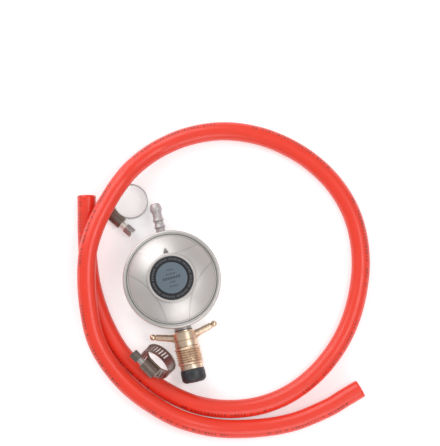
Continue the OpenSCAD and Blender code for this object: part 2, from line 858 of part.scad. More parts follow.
module band_slots(first, step, count, r) {
    for (k = [0 : count - 1])
        rotate([0, 0, first + step * k])
            translate([r + band_t / 2, 0, 0])
                rotate([slot_tilt, 0, 0])
                    cube([2 * band_t - seat_fit, slot_w, slot_len], center = true);
}

module clip_band() {
    difference() {
        translate([0, 0, -band_w / 2])
            difference() {
                cylinder(r = clip_r + band_t, h = band_w);
                translate([0, 0, -eps])
                    cylinder(r = clip_r, h = band_w + 2 * eps);
            }
        band_slots(slot_first, slot_step, slot_count, clip_r);
    }
    difference() {
        band_ring(tail_r, tail_from, tail_to);
        band_slots(tail_slot_first, -slot_step, tail_slot_count, tail_r);
    }
    rotate([0, 0, tail_to - bridge_span])
        rotate_extrude(angle = bridge_span)
            translate([clip_r + band_t / 2, -band_w / 2])
                square([band_t + seat_fit, band_w]);
}

module arch(r) {
    translate([worm_x, 0])
        circle(r = r);
    translate([clip_r, -r])
        square([worm_x - clip_r, 2 * r]);
}

module along_screw(len) {
    rotate([90, 0, 0])
        linear_extrude(len, center = true)
            children();
}

module clip_housing() {
    difference() {
        union() {
            along_screw(housing_len)
                arch(arch_out);
            along_screw(housing_len)
                translate([clip_r, -housing_w / 2])
                    square([saddle_x - clip_r, housing_w]);
        }
        translate([0, -end_wall / 2 - eps, 0])
            along_screw(housing_len - end_wall + 2 * eps)
                arch(arch_in);
        along_screw(housing_len + 1)
            translate([worm_x, 0])
                circle(r = worm_neck_r + shaft_fit);
        cylinder(r = tail_out + seat_fit, h = band_w + 2 * seat_fit, center = true);
        cylinder(r = clip_r + band_t / 2, h = housing_w + 1, center = true);
    }
}

module clip_screw() {
    thread_from = -housing_len / 2 + worm_sink;
    thread_to = housing_len / 2 - end_wall - worm_gap;
    translate([worm_x, 0, 0])
        rotate([-90, 0, 0])
            difference() {
                union() {
                    translate([0, 0, thread_from])
                        cylinder(r = worm_r, h = thread_to - thread_from);
                    translate([0, 0, thread_to - eps])
                        cylinder(r = worm_neck_r, h = head_from - thread_to + 2 * eps);
                    translate([0, 0, head_from])
                        cylinder(r = head_r, h = head_len, $fn = 6);
                }
                translate([-head_slot_w / 2, -head_r - eps, head_from + head_len - head_slot_depth])
                    cube([head_slot_w, 2 * (head_r + eps), head_slot_depth + eps]);
            }
}

module clip_1_place() {
    translate(clip_1_at)
        rotate([0, 0, clip_1_turn])
            children();
}

module clip_2_place() {
    translate(clip_2_at)
        rotate([0, clip_2_lean - 180, clip_2_turn])
            children();
}

module clip_1_band() {
    color("lightslategray")
        clip_1_place()
            clip_band();
}

module clip_1_housing() {
    color("dimgray")
        clip_1_place()
            clip_housing();
}

module clip_1_screw() {
    color("slategray")
        clip_1_place()
            clip_screw();
}

module clip_2_band() {
    color("lightslategray")
        clip_2_place()
            clip_band();
}

module clip_2_housing() {
    color("dimgray")
        clip_2_place()
            clip_housing();
}

module clip_2_screw() {
    color("slategray")
        clip_2_place()
            clip_screw();
}

// Hose: one swept tube with its bore, cut flat and drilled true at both ends
module swept_hose() {
    count = len(hose_sweep);
    tube = count * hose_sides;
    along = [for (i = [0 : count - 1]) tangent(hose_sweep, i, hose_first, hose_final)];
    outer = [for (i = [0 : count - 1]) ring_at(hose_sweep[i], along[i], hose_d / 2, hose_sides)];
    bore_r = hose_bore / 2 - drill_skin;
    inner = [for (i = [0 : count - 1]) ring_at(hose_sweep[i], along[i], bore_r, hose_sides)];
    polyhedron(
        concat(flat_list(outer), flat_list(inner)),
        concat(
            wall_faces(0, count, hose_sides, true),
            wall_faces(tube, count, hose_sides, false),
            end_faces(0, tube, hose_sides, true),
            end_faces(tube - hose_sides, 2 * tube - hose_sides, hose_sides, false)));
}

module end_cut(from, run) {
    translate(from)
        rotate([0, 0, atan2(run[1], run[0])])
            rotate([0, 90, 0])
                translate([0, 0, -drill_start]) {
                    cylinder(d = hose_bore, h = norm(run) + drill_start);
                    cylinder(d = hose_d + 2 * drill_start, h = drill_start);
                }
}

module hose() {
    color("#ff5242")
        difference() {
            swept_hose();
            end_cut(hose_line[0], hose_first);
            end_cut(hose_line[hose_last], -hose_final);
        }
}

lower_body();
cover();
closing_cap();
label_disc();
adjusting_screw();
main_spring();
diaphragm_plate();
diaphragm();
diaphragm_stem();
stem_nut();
lever();
lever_pin();
valve_plunger();
valve_pad();
inlet_nipple();
nipple_seal();
inlet_filter();
wing_nut();
nose_seal();
outlet_barb();
clip_1_band();
clip_1_housing();
clip_1_screw();
clip_2_band();
clip_2_housing();
clip_2_screw();
hose();
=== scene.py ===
"""Looks of a low-pressure gas regulator set: the regulator, its loose hose and two worm-drive clips.

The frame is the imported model's: the regulator stands on its foot at the origin, +Y runs out of the outlet
barb, -Y out of the inlet and +Z is up. Finishes hold their sizes in metres, sub-assemblies in millimetres.
"""

import json
import logging
import math
from dataclasses import dataclass, field
from enum import Enum
from functools import cache
from typing import Optional, Sequence

import bmesh
import bpy
from mathutils import Matrix, Vector

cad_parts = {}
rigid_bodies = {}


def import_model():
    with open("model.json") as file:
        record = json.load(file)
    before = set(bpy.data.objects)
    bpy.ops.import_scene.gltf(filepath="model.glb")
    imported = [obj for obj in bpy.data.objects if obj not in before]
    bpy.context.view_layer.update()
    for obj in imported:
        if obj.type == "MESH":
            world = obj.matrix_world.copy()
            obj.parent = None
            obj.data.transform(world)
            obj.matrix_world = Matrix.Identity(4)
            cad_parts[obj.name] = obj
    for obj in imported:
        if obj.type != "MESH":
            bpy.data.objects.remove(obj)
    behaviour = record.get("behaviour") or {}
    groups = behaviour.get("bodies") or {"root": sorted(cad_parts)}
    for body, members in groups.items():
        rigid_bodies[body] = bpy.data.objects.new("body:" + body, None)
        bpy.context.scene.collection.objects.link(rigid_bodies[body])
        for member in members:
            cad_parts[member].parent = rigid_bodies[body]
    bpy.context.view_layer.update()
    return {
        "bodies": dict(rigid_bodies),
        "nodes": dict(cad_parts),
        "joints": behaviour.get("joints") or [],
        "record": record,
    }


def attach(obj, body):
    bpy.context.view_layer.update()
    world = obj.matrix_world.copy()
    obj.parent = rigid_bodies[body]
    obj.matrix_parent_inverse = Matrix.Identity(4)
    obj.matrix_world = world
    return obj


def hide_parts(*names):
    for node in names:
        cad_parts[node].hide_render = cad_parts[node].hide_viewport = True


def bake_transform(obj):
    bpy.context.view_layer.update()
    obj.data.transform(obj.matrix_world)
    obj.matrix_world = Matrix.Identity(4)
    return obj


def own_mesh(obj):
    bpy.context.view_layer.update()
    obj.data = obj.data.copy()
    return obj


LOG = logging.getLogger("regulator_set")
MM = 0.001
FULL_TURN = 2 * math.pi
STRAIGHT = math.pi - 0.02
MERGE = 0.002 * MM
CORNER_SHARE = 0.49
EDGE_SPANS = 2
OPEN_SKY = 0.96
SKY_SAMPLES = 8
UP = Vector((0, 0, 1)).freeze()
AT_ORIGIN = Matrix.Identity(4)

Pair = tuple[float, float]
Point = tuple[float, float, float]
Colour = tuple[float, float, float]
Corner = tuple[float, float, float]
Mesh = bmesh.types.BMesh
Ring = list[bmesh.types.BMVert]
Piece = bpy.types.Object
Socket = bpy.types.NodeSocket


class Body(Enum):
    """Rigid bodies of the set that a new piece can ride on."""

    SET = "loose_set"
    NUT = "inlet_nut"
    DIAPHRAGM = "diaphragm_set"
    CLIP_1 = "clip_1_worm"
    CLIP_2 = "clip_2_worm"


class Hand(Enum):
    """Which way a thread winds, as the sign of its phase round the axis."""

    LEFT = 1
    RIGHT = -1


class Axis(Enum):
    """Axis that a metal piece was turned about."""

    INLET = "Y"
    UPRIGHT = "Z"


def srgb(red: int, green: int, blue: int) -> Colour:
    """Linear colour of a screen colour.

    Args:
        red: Red from 0 to 255.
        green: Green from 0 to 255.
        blue: Blue from 0 to 255.

    Returns:
        The colour in linear light.
    """

    def linear(channel: int) -> float:
        """Linear value of one channel."""
        share = channel / 255
        return share / 12.92 if share <= 0.04045 else ((share + 0.055) / 1.055) ** 2.4

    return linear(red), linear(green), linear(blue)


def toned(colour: Colour, brightness: float) -> Colour:
    """A colour made darker or brighter."""
    return tuple(min(1.0, channel * brightness) for channel in colour)


class Graph:
    """Node graph of one material, with short calls that add and join its nodes."""

    def __init__(self, name: str) -> None:
        """Starts a material with a principled shader.

        Args:
            name: Name of the material.
        """
        self.material = bpy.data.materials.new(name)
        self.material.use_nodes = True
        self.tree = self.material.node_tree
        self.shader = self.tree.nodes["Principled BSDF"]
        self.here = self.add("TexCoord", {}, "Object")
        self.unwrapped = self.here.node.outputs["UV"]

    def feed(self, node: bpy.types.Node, key: str | int, value: object) -> None:
        """Links a socket to an input, or sets the input's own value.

        Args:
            node: Node that takes the value.
            key: Name or place of its input.
            value: A socket, a number or a colour.
        """
        if isinstance(value, Socket):
            self.tree.links.new(value, node.inputs[key])
        elif isinstance(value, tuple) and node.inputs[key].type == "RGBA":
            node.inputs[key].default_value = (*value, 1.0)
        else:
            node.inputs[key].default_value = value

    def add(self, kind: str, inputs: dict, output: str | int = 0, **settings: object) -> Socket:
        """Adds a node.

        Args:
            kind: Blender's name for the node type, without its prefix.
            inputs: Sockets, numbers or colours by the name or place of the input.
            output: Name or place of the output that is wanted.
            **settings: Attributes of the node.

        Returns:
            Socket of that output.
        """
        node = self.tree.nodes.new(f"ShaderNode{kind}")
        for key, value in settings.items():
            setattr(node, key, value)
        for key, value in inputs.items():
            self.feed(node, key, value)
        return node.outputs[output]

    def set(self, **values: object) -> None:
        """Sets or links the shader's sockets, with underscores for the spaces in their names."""
        for key, value in values.items():
            self.feed(self.shader, key.replace("_", " ").title().replace("Ior", "IOR"), value)

    def points(self, stretch: Point, where: Optional[Socket] = None) -> Socket:
        """Coordinates stretched along each axis, the object's own unless others are given."""
        return self.add("Mapping", {"Vector": where or self.here, "Scale": stretch})

    def noise(self, scale: float, detail: float, rough: float, where: Socket) -> Socket:
        """Cloudy noise from 0 to 1, by its scale, its octaves and the weight of the finer ones."""
        inputs = {"Vector": where, "Scale": scale, "Detail": detail, "Roughness": rough}
        return self.add("TexNoise", inputs)

    def cells(self, scale: float, output: str) -> Socket:
        """Irregular cells, so many to a metre, by their Color or their Distance."""
        return self.add("TexVoronoi", {"Vector": self.here, "Scale": scale}, output)

    def math(self, kind: str, first: object, second: object = 0.0) -> Socket:
        """One arithmetic step, such as MULTIPLY."""
        return self.add("Math", {0: first, 1: second}, operation=kind)

    def span(self, value: Socket, low: float, high: float, to: Pair = (0.0, 1.0)) -> Socket:
        """Maps a range of a value on to another range, clamped."""
        ends = {"From Min": low, "From Max": high, "To Min": to[0], "To Max": to[1]}
        return self.add("MapRange", {"Value": value, **ends}, "Result")

    def blend(self, share: Socket, first: object, second: object) -> Socket:
        """Mixes two colours, the second by a share from 0 to 1."""
        return self.add("Mix", {0: share, 6: first, 7: second}, 2, data_type="RGBA")

    def corner(self, reach: float, strength: float, full: float) -> Socket:
        """How far a point lies in a corner, from 0 in the open to a strength at a full share of the sky."""
        sky = self.add("AmbientOcclusion", {"Distance": reach}, "AO", samples=SKY_SAMPLES, only_local=True)
        return self.span(sky, OPEN_SKY, full, (0.0, strength))

    def bump(self, height: Socket, depth: float, strength: float) -> None:
        """Adds a height to the surface's normal, over any bump that is there already.

        Args:
            height: Socket of the height from 0 to 1.
            depth: Depth of the relief in metres.
            strength: Share of the relief that shows.
        """
        inputs = {"Height": height, "Distance": depth, "Strength": strength}
        normal = self.shader.inputs["Normal"]
        if normal.is_linked:
            inputs["Normal"] = normal.links[0].from_socket
        self.set(normal=self.add("Bump", inputs))


@dataclass(frozen=True)
class Noise:
    """Cloudy noise: its cells per metre, its octaves, the weight of the finer ones, how many times closer
    together they lie along Z, and the range of its values that counts."""

    scale: float
    detail: float = 3.0
    rough: float = 0.55
    draw: float = 1.0
    low: float = 0.3
    high: float = 0.7

    def height(self, graph: Graph) -> Socket:
        """The noise itself, from 0 to 1."""
        return graph.noise(self.scale, self.detail, self.rough, graph.points((1, 1, self.draw)))

    def spread(self, graph: Graph, start: float, end: float) -> Socket:
        """The range of the noise that counts, mapped from a start to an end."""
        return graph.span(self.height(graph), self.low, self.high, (start, end))


@dataclass(frozen=True)
class Tint:
    """Noise that brings in another tone of a colour: its largest share and the tone's brightness."""

    noise: Noise
    share: float
    brightness: float

    def over(self, graph: Graph, base: object, colour: Colour) -> Socket:
        """A base with the tone of a colour laid over it."""
        return graph.blend(self.noise.spread(graph, 0.0, self.share), base, toned(colour, self.brightness))


@dataclass(frozen=True)
class Relief:
    """Noise pressed into a surface: its depth and the share of it that shows."""

    noise: Noise
    depth: float
    strength: float

    def press(self, graph: Graph) -> None:
        """Adds the relief to a surface."""
        graph.bump(self.noise.height(graph), self.depth, self.strength)


@dataclass(frozen=True)
class Gloss:
    """Noise that swings a roughness below and above its middle."""

    noise: Noise
    less: float
    more: float


@dataclass(frozen=True)
class Finish:
    """Base of the finishes: a name, a colour and a roughness."""

    name: str
    colour: Colour
    roughness: float

    def shade(self, graph: Graph) -> None:
        """Adds the finish's own nodes to its graph."""
        raise NotImplementedError

    @cache
    def material(self) -> bpy.types.Material:
        """Makes the finish's material, once.

        Returns:
            The material.
        """
        graph = Graph(f"{self.name}_finish")
        self.shade(graph)
        return graph.material

    def swing(self, graph: Graph, gloss: Gloss) -> None:
        """Sets a roughness that swings a little below and above the finish's own."""
        ends = (self.roughness - gloss.less, self.roughness + gloss.more)
        graph.set(roughness=gloss.noise.spread(graph, *ends))

    def dull(self, graph: Graph, patch: Socket, rise: float) -> None:
        """Sets a roughness that rises where patches cover the surface."""
        graph.set(roughness=graph.math("ADD", graph.math("MULTIPLY", patch, rise), self.roughness))


@dataclass(frozen=True)
class MetallicPaint(Finish):
    """Satin silver paint over a casting: fine flakes, a faint orange peel, soft clouds, painted shade in the
    corners and, where it has a radius, a ring scribed round Z."""

    metallic: float = 0.75
    cloud: Tint = Tint(Noise(45.0, 4.0, low=0.35), 0.35, 0.9)
    flake_scale: float = 5200.0
    flake_range: Pair = (0.2, 0.9)
    flake_share: float = 0.22
    flake_tone: float = 1.18
    # Painted shade: the paint darkens in corners and at steps, by how little sky they see
    painted_shade_reach: float = 1.6 * MM
    painted_shade_share: float = 0.7
    painted_shade_sky: float = 0.62
    shade_and_ring_tone: float = 0.28
    ring_r: float = 0.0
    ring_half: float = 0.24 * MM
    ring_core: float = 0.4
    ring_depth: float = 0.2 * MM
    ring_strength: float = 0.5
    ring_dirt: float = 0.65
    coat: float = 0.12
    coat_roughness: float = 0.25
    gloss: Gloss = Gloss(Noise(160.0), 0.04, 0.05)
    peel: Relief = Relief(Noise(700.0, 2.0), 0.02 * MM, 0.35)

    def scribed(self, graph: Graph) -> Socket:
        """Mask of the scribed ring.

        Args:
            graph: Graph of the material.

        Returns:
            Socket of the mask, from 0 off the ring to 1 on it.
        """
        radius = graph.add("VectorMath", {0: graph.points((1, 1, 0))}, "Value", operation="LENGTH")
        off = graph.math("ABSOLUTE", graph.math("SUBTRACT", radius, self.ring_r))
        return graph.span(off, self.ring_half, self.ring_core * self.ring_half)

    def shade(self, graph: Graph) -> None:
        """Adds clouds, flakes, painted corner shade, the ring and orange peel.

        Args:
            graph: Graph of the material.
        """
        flakes = graph.cells(self.flake_scale, "Color")
        glint = graph.span(flakes, *self.flake_range, (0.0, self.flake_share))
        # Painted shade in the corners, with the scribed ring's dark line joined into the same mask
        shade_and_ring = graph.corner(self.painted_shade_reach, self.painted_shade_share, self.painted_shade_sky)
        if self.ring_r > 0:
            ring = self.scribed(graph)
            shade_and_ring = graph.math("MAXIMUM", shade_and_ring, graph.math("MULTIPLY", ring, self.ring_dirt))
            graph.bump(graph.math("SUBTRACT", 1.0, ring), self.ring_depth, self.ring_strength)
        paint = self.cloud.over(graph, self.colour, self.colour)
        paint = graph.blend(glint, paint, toned(self.colour, self.flake_tone))
        paint = graph.blend(shade_and_ring, paint, toned(self.colour, self.shade_and_ring_tone))
        graph.set(base_color=paint, metallic=self.metallic)
        graph.set(coat_weight=self.coat, coat_roughness=self.coat_roughness)
        self.swing(graph, self.gloss)
        self.peel.press(graph)


@dataclass(frozen=True)
class MouldedPlastic(Finish):
    """Moulded plastic with slight clouds and a fine spark texture."""

    cloud: Tint = Tint(Noise(120.0, 4.0, low=0.35), 0.5, 0.75)
    gloss: Gloss = Gloss(Noise(300.0), 0.06, 0.08)
    spark: Relief = Relief(Noise(2600.0, 2.0), 0.03 * MM, 0.4)

    def shade(self, graph: Graph) -> None:
        """Adds the clouds and the mould's texture.

        Args:
            graph: Graph of the material.
        """
        graph.set(base_color=self.cloud.over(graph, self.colour, self.colour))
        self.swing(graph, self.gloss)
        self.spark.press(graph)


@dataclass(frozen=True)
class PrintedFilm(Finish):
    """Printed label film: an even tint with a soft sheen and tiny print dots."""

    dot_scale: float = 1500.0
    dot_range: Pair = (0.15, 0.5)
    dot_share: float = 0.5
    dot_tone: float = 0.82
    coat: float = 0.35
    coat_roughness: float = 0.2
    gloss: Gloss = Gloss(Noise(90.0), 0.05, 0.08)

    def shade(self, graph: Graph) -> None:
        """Adds the dots and the sheen.

        Args:
            graph: Graph of the material.
        """
        dots = graph.span(graph.cells(self.dot_scale, "Distance"), *self.dot_range, (0.0, self.dot_share))
        tint = graph.blend(dots, self.colour, toned(self.colour, self.dot_tone))
        graph.set(base_color=tint, coat_weight=self.coat, coat_roughness=self.coat_roughness)
        self.swing(graph, self.gloss)


@dataclass(frozen=True)
class TurnedMetal(Finish):
    """Turned metal: fine tool rings along an axis, tarnish clouds, painted shade in the corners and a soft
    gloss.
    """

    tarnish: Colour = (0.1, 0.05, 0.02)
    tarnish_share: float = 0.45
    tarnish_dulling: float = 0.35
    stain: Noise = Noise(210.0, 5.0, 0.65, low=0.42, high=0.68)
    # Painted shade: the metal darkens in corners and thread grooves, by how little sky they see
    corner_shade_reach: float = 1.0 * MM
    corner_shade_share: float = 0.5
    corner_shade_sky: float = 0.45
    corner_shade_tone: float = 0.3
    ring_axis: Axis = Axis.INLET
    ring_scale: float = 900.0
    ring_waver: float = 1.5
    ring_detail: float = 2.0
    ring_depth: float = 0.012 * MM
    ring_strength: float = 0.4
    grain: Relief = Relief(Noise(520.0), 0.03 * MM, 0.3)

    def tool_rings(self, graph: Graph) -> Socket:
        """Height of the tool rings.

        Args:
            graph: Graph of the material.

        Returns:
            Socket of the height from 0 to 1.
        """
        inputs = {"Vector": graph.here, "Scale": self.ring_scale}
        inputs |= {"Distortion": self.ring_waver, "Detail": self.ring_detail}
        return graph.add("TexWave", inputs, "Fac", wave_type="BANDS", bands_direction=self.ring_axis.value)

    def shade(self, graph: Graph) -> None:
        """Adds tarnish, painted corner shade, tool rings and grain.

        Args:
            graph: Graph of the material.
        """
        stain = self.stain.spread(graph, 0.0, self.tarnish_share)
        # Painted shade in the corners and along the thread's grooves
        corner_shade = graph.corner(self.corner_shade_reach, self.corner_shade_share, self.corner_shade_sky)
        metal = graph.blend(stain, self.colour, self.tarnish)
        metal = graph.blend(corner_shade, metal, toned(self.tarnish, self.corner_shade_tone))
        graph.set(base_color=metal, metallic=1.0)
        self.dull(graph, stain, self.tarnish_dulling)
        graph.bump(self.tool_rings(graph), self.ring_depth, self.ring_strength)
        self.grain.press(graph)


@dataclass(frozen=True)
class RolledSteel(Finish):
    """Rolled or pressed steel: streaks, dull patches and fine scratches."""

    patch: Colour
    patch_share: float = 0.5
    patch_dulling: float = 0.3
    patches: Noise = Noise(260.0, 5.0, 0.7, low=0.42, high=0.66)
    metallic: float = 1.0
    streak: Tint = Tint(Noise(160.0, 4.0, 0.6, 9.0, 0.45, 0.75), 0.5, 1.25)
    scratch: Relief = Relief(Noise(1400.0, 3.0, 0.6, 14.0), 0.02 * MM, 0.35)

    def shade(self, graph: Graph) -> None:
        """Adds patches, streaks and scratches.

        Args:
            graph: Graph of the material.
        """
        patch = self.patches.spread(graph, 0.0, self.patch_share)
        steel = graph.blend(patch, self.colour, self.patch)
        graph.set(base_color=self.streak.over(graph, steel, self.colour), metallic=self.metallic)
        self.dull(graph, patch, self.patch_dulling)
        self.scratch.press(graph)


@dataclass(frozen=True)
class SoftRubber(Finish):
    """Matt rubber with a fine pebble and a dusty bloom."""

    bloom: Colour = (0.16, 0.16, 0.17)
    bloom_share: float = 0.3
    dust: Noise = Noise(170.0, 4.0, low=0.45, high=0.75)
    gloss: Gloss = Gloss(Noise(420.0), 0.06, 0.1)
    pebble: Relief = Relief(Noise(1900.0, 2.0), 0.03 * MM, 0.35)

    def shade(self, graph: Graph) -> None:
        """Adds the bloom and the pebble.

        Args:
            graph: Graph of the material.
        """
        dust = self.dust.spread(graph, 0.0, self.bloom_share)
        graph.set(base_color=graph.blend(dust, self.colour, self.bloom))
        self.swing(graph, self.gloss)
        self.pebble.press(graph)


@dataclass(frozen=True)
class HoseRubber(Finish):
    """Glossy hose cover: soft mottling, faint draw lines along it and one row of worn print dashes. Its UV
    map runs once round the hose, and along it in metres."""

    cloud: Tint = Tint(Noise(60.0, 4.0, low=0.35), 0.35, 0.88)
    ink: Colour = (0.25, 0.02, 0.015)
    row_at: float = 0.63
    row_half: float = 0.028
    dash: float = 2.4 * MM
    dash_widths: Pair = (0.25, 0.85)
    dash_missing: float = 0.18
    group: float = 92 * MM
    group_share: float = 0.72
    wear: Noise = Noise(420.0, low=0.35, high=0.6)
    wear_left: Pair = (0.35, 0.8)
    line_stretch: Point = (60.0, 6.0, 1.0)
    line_detail: float = 3.0
    line_rough: float = 0.6
    line_depth: float = 0.05 * MM
    line_strength: float = 0.3
    grain: Relief = Relief(Noise(900.0, 2.0), 0.02 * MM, 0.25)
    gloss: Gloss = Gloss(Noise(140.0), 0.05, 0.08)
    coat: float = 0.25
    coat_roughness: float = 0.18

    def print_row(self, graph: Graph) -> Socket:
        """Mask of the print: dashes in groups along the hose, broken by wear.

        Args:
            graph: Graph of the material.

        Returns:
            Socket of the mask from 0 to 1.
        """
        around = graph.add("SeparateXYZ", {0: graph.unwrapped}, "X")
        along = around.node.outputs["Y"]
        cell = graph.math("DIVIDE", along, self.dash)
        place = {"W": graph.math("FLOOR", cell)}
        chance = graph.add("TexWhiteNoise", place, "Value", noise_dimensions="1D")
        width = graph.span(chance, 0.0, 1.0, self.dash_widths)
        group = graph.math("FRACT", graph.math("DIVIDE", along, self.group))
        off_row = graph.math("ABSOLUTE", graph.math("SUBTRACT", around, self.row_at))
        mask = self.wear.spread(graph, *self.wear_left)
        for part in (
            graph.math("LESS_THAN", graph.math("FRACT", cell), width),
            graph.math("GREATER_THAN", chance, self.dash_missing),
            graph.math("LESS_THAN", group, self.group_share),
            graph.math("LESS_THAN", off_row, self.row_half),
        ):
            mask = graph.math("MULTIPLY", mask, part)
        return mask

    def shade(self, graph: Graph) -> None:
        """Adds mottling, print, draw lines and grain.

        Args:
            graph: Graph of the material.
        """
        base = self.cloud.over(graph, self.colour, self.colour)
        graph.set(base_color=graph.blend(self.print_row(graph), base, self.ink))
        stretched = graph.points(self.line_stretch, graph.unwrapped)
        lines = graph.noise(1.0, self.line_detail, self.line_rough, stretched)
        graph.bump(lines, self.line_depth, self.line_strength)
        self.grain.press(graph)
        self.swing(graph, self.gloss)
        graph.set(coat_weight=self.coat, coat_roughness=self.coat_roughness)


SILVER_PAINT = MetallicPaint("silver_paint", srgb(210, 206, 203), 0.44, ring_r=32.6 * MM)
# Painted shade: the raised flow arrow is the cover's own silver, darkened here for the shade round it
ARROW_SHADE_PAINT = MetallicPaint("arrow_shade_paint", srgb(122, 116, 115), 0.5, metallic=0.3)
GREY_PAINT = MetallicPaint("grey_paint", srgb(178, 177, 176), 0.45, metallic=0.6)
BARB_METAL = MetallicPaint("barb_metal", srgb(198, 192, 193), 0.5, metallic=0.5)
BLACK_PLASTIC = MouldedPlastic("black_plastic", srgb(28, 28, 33), 0.45)
ADJUSTER_PLASTIC = MouldedPlastic("adjuster_plastic", srgb(188, 178, 140), 0.5)
LABEL_FILM = PrintedFilm("label_film", srgb(100, 114, 126), 0.4)
PALE_INK = PrintedFilm("pale_ink", srgb(108, 112, 117), 0.45)
DARK_INK = PrintedFilm("dark_ink", srgb(46, 50, 54), 0.45)
INLET_BRASS = TurnedMetal(
    "inlet_brass", srgb(244, 221, 194), 0.3, tarnish=srgb(200, 168, 150), tarnish_share=0.65
)
INNER_BRASS = TurnedMetal(
    "inner_brass", srgb(226, 190, 120), 0.25, tarnish_share=0.2, ring_axis=Axis.UPRIGHT
)
FILTER_BRONZE = TurnedMetal("filter_bronze", srgb(176, 140, 98), 0.55, tarnish_share=0.6)
BAND_STEEL = RolledSteel("band_steel", srgb(206, 204, 202), 0.3, srgb(146, 136, 128))
# Painted shade: a darker, slightly rougher copy of the band steel for clip 2's band, the same steel as clip
# 1's
SHADED_BAND_STEEL = RolledSteel("shaded_band_steel", srgb(158, 150, 144), 0.36, srgb(108, 96, 90))
HOUSING_STEEL = RolledSteel("housing_steel", srgb(142, 128, 120), 0.36, srgb(96, 76, 68))
SCREW_STEEL = RolledSteel("screw_steel", srgb(198, 194, 191), 0.4, srgb(140, 130, 125))
# Painted shade: a darker, slightly rougher copy of the screw steel for clip 2's screw head
SHADED_SCREW_STEEL = RolledSteel("shaded_screw_steel", srgb(128, 118, 113), 0.46, srgb(88, 78, 74))
# Painted highlight: a paler, less metallic copy of the screw steel for clip 1's screw neck and worm
HIGHLIGHT_STEEL = RolledSteel(
    "highlight_steel", srgb(248, 240, 230), 0.42, srgb(204, 194, 184), patch_share=0.3, metallic=0.3
)
ZINC_STEEL = RolledSteel("zinc_steel", srgb(196, 198, 202), 0.25, srgb(160, 160, 158), patch_share=0.3)
SPRING_STEEL = RolledSteel("spring_steel", srgb(190, 190, 194), 0.22, srgb(140, 140, 142), patch_share=0.25)
NOSE_RUBBER = SoftRubber("nose_rubber", srgb(44, 46, 49), 0.42)
INNER_RUBBER = SoftRubber("inner_rubber", srgb(40, 40, 39), 0.6)
WASHER_FIBRE = SoftRubber("washer_fibre", srgb(92, 80, 73), 0.6, bloom=srgb(122, 108, 98))
HOSE_RUBBER = HoseRubber("hose_rubber", srgb(244, 60, 38), 0.36)

NODE_FINISH: dict[str, Finish] = {
    "lower_body": GREY_PAINT,
    "cover": SILVER_PAINT,
    "closing_cap": BLACK_PLASTIC,
    "label_disc": LABEL_FILM,
    "adjusting_screw": ADJUSTER_PLASTIC,
    "main_spring": SPRING_STEEL,
    "diaphragm_plate": ZINC_STEEL,
    "diaphragm": INNER_RUBBER,
    "diaphragm_stem": INNER_BRASS,
    "stem_nut": ZINC_STEEL,
    "lever": ZINC_STEEL,
    "lever_pin": ZINC_STEEL,
    "valve_plunger": INNER_BRASS,
    "valve_pad": INNER_RUBBER,
    "inlet_nipple": INLET_BRASS,
    "nipple_seal": WASHER_FIBRE,
    "inlet_filter": FILTER_BRONZE,
    "wing_nut": INLET_BRASS,
    "nose_seal": NOSE_RUBBER,
    "outlet_barb": BARB_METAL,
    "clip_1_band": BAND_STEEL,
    "clip_1_housing": HOUSING_STEEL,
    # Clip 1's screw neck and worm are in the paler steel, a painted highlight
    "clip_1_screw": HIGHLIGHT_STEEL,
    # Clip 2's band is in the darker copy of the band steel, painted shade
    "clip_2_band": SHADED_BAND_STEEL,
    "clip_2_housing": HOUSING_STEEL,
    "clip_2_screw": SCREW_STEEL,
    "hose": HOSE_RUBBER,
}


def arc(middle: Pair, radius: float, degrees: range) -> list[Corner]:
    """Points of an arc in an outline, each a corner that needs no rounding."""
    turns = [math.radians(step) for step in degrees]
    return [(middle[0] + radius * math.cos(turn), middle[1] + radius * math.sin(turn), 0.0) for turn in turns]


def rounded(corners: Sequence[Corner], steps: int) -> list[Vector]:
    """Outline whose corners are rounded.

    Args:
        corners: Closed outline as radius, distance along the axis and rounding of each corner.
        steps: Spans in each rounding.

    Returns:
        Points of the outline.
    """
    points = []
    for index, (radius, along, bend) in enumerate(corners):
        corner = Vector((radius, along))
        before = Vector(corners[index - 1][:2]) - corner
        after = Vector(corners[(index + 1) % len(corners)][:2]) - corner
        if bend <= 0 or before.angle(after) > STRAIGHT:
            points.append(corner)
            continue
        reach = bend / math.tan(before.angle(after) / 2)
        reach = min(reach, CORNER_SHARE * before.length, CORNER_SHARE * after.length)
        start = corner + before.normalized() * reach
        end = corner + after.normalized() * reach
        for share in (step / steps for step in range(steps + 1)):
            points.append(start * (1 - share) ** 2 + corner * (2 * share * (1 - share)) + end * share**2)
    return points


def lathe(corners: Sequence[Corner], segments: int = 96, closed: bool = True, steps: int = 4) -> Mesh:
    """Turns an outline about Z.

    Args:
        corners: Radius, distance along Z and rounding of each corner, in millimetres.
        segments: Steps in the full turn.
        closed: Whether the outline's end joins its start, as it does off the axis.
        steps: Spans in each rounded corner.

    Returns:
        A closed mesh in metres.
    """
    mesh = bmesh.new()
    points = [mesh.verts.new((point.x * MM, 0, point.y * MM)) for point in rounded(corners, steps)]
    pairs = list(zip(points, points[1:]))
    if closed:
        pairs.append((points[-1], points[0]))
    edges = [mesh.edges.new(pair) for pair in pairs if (pair[0].co - pair[1].co).length > 0]
    bmesh.ops.spin(
        mesh,
        geom=points + edges,
        cent=(0, 0, 0),
        axis=UP,
        dvec=(0, 0, 0),
        angle=FULL_TURN,
        steps=segments,
        use_merge=True,
        use_duplicate=False,
    )
    bmesh.ops.remove_doubles(mesh, verts=mesh.verts, dist=MERGE)
    bmesh.ops.dissolve_degenerate(mesh, edges=mesh.edges, dist=MERGE / 2)
    bmesh.ops.recalc_face_normals(mesh, faces=mesh.faces)
    return mesh


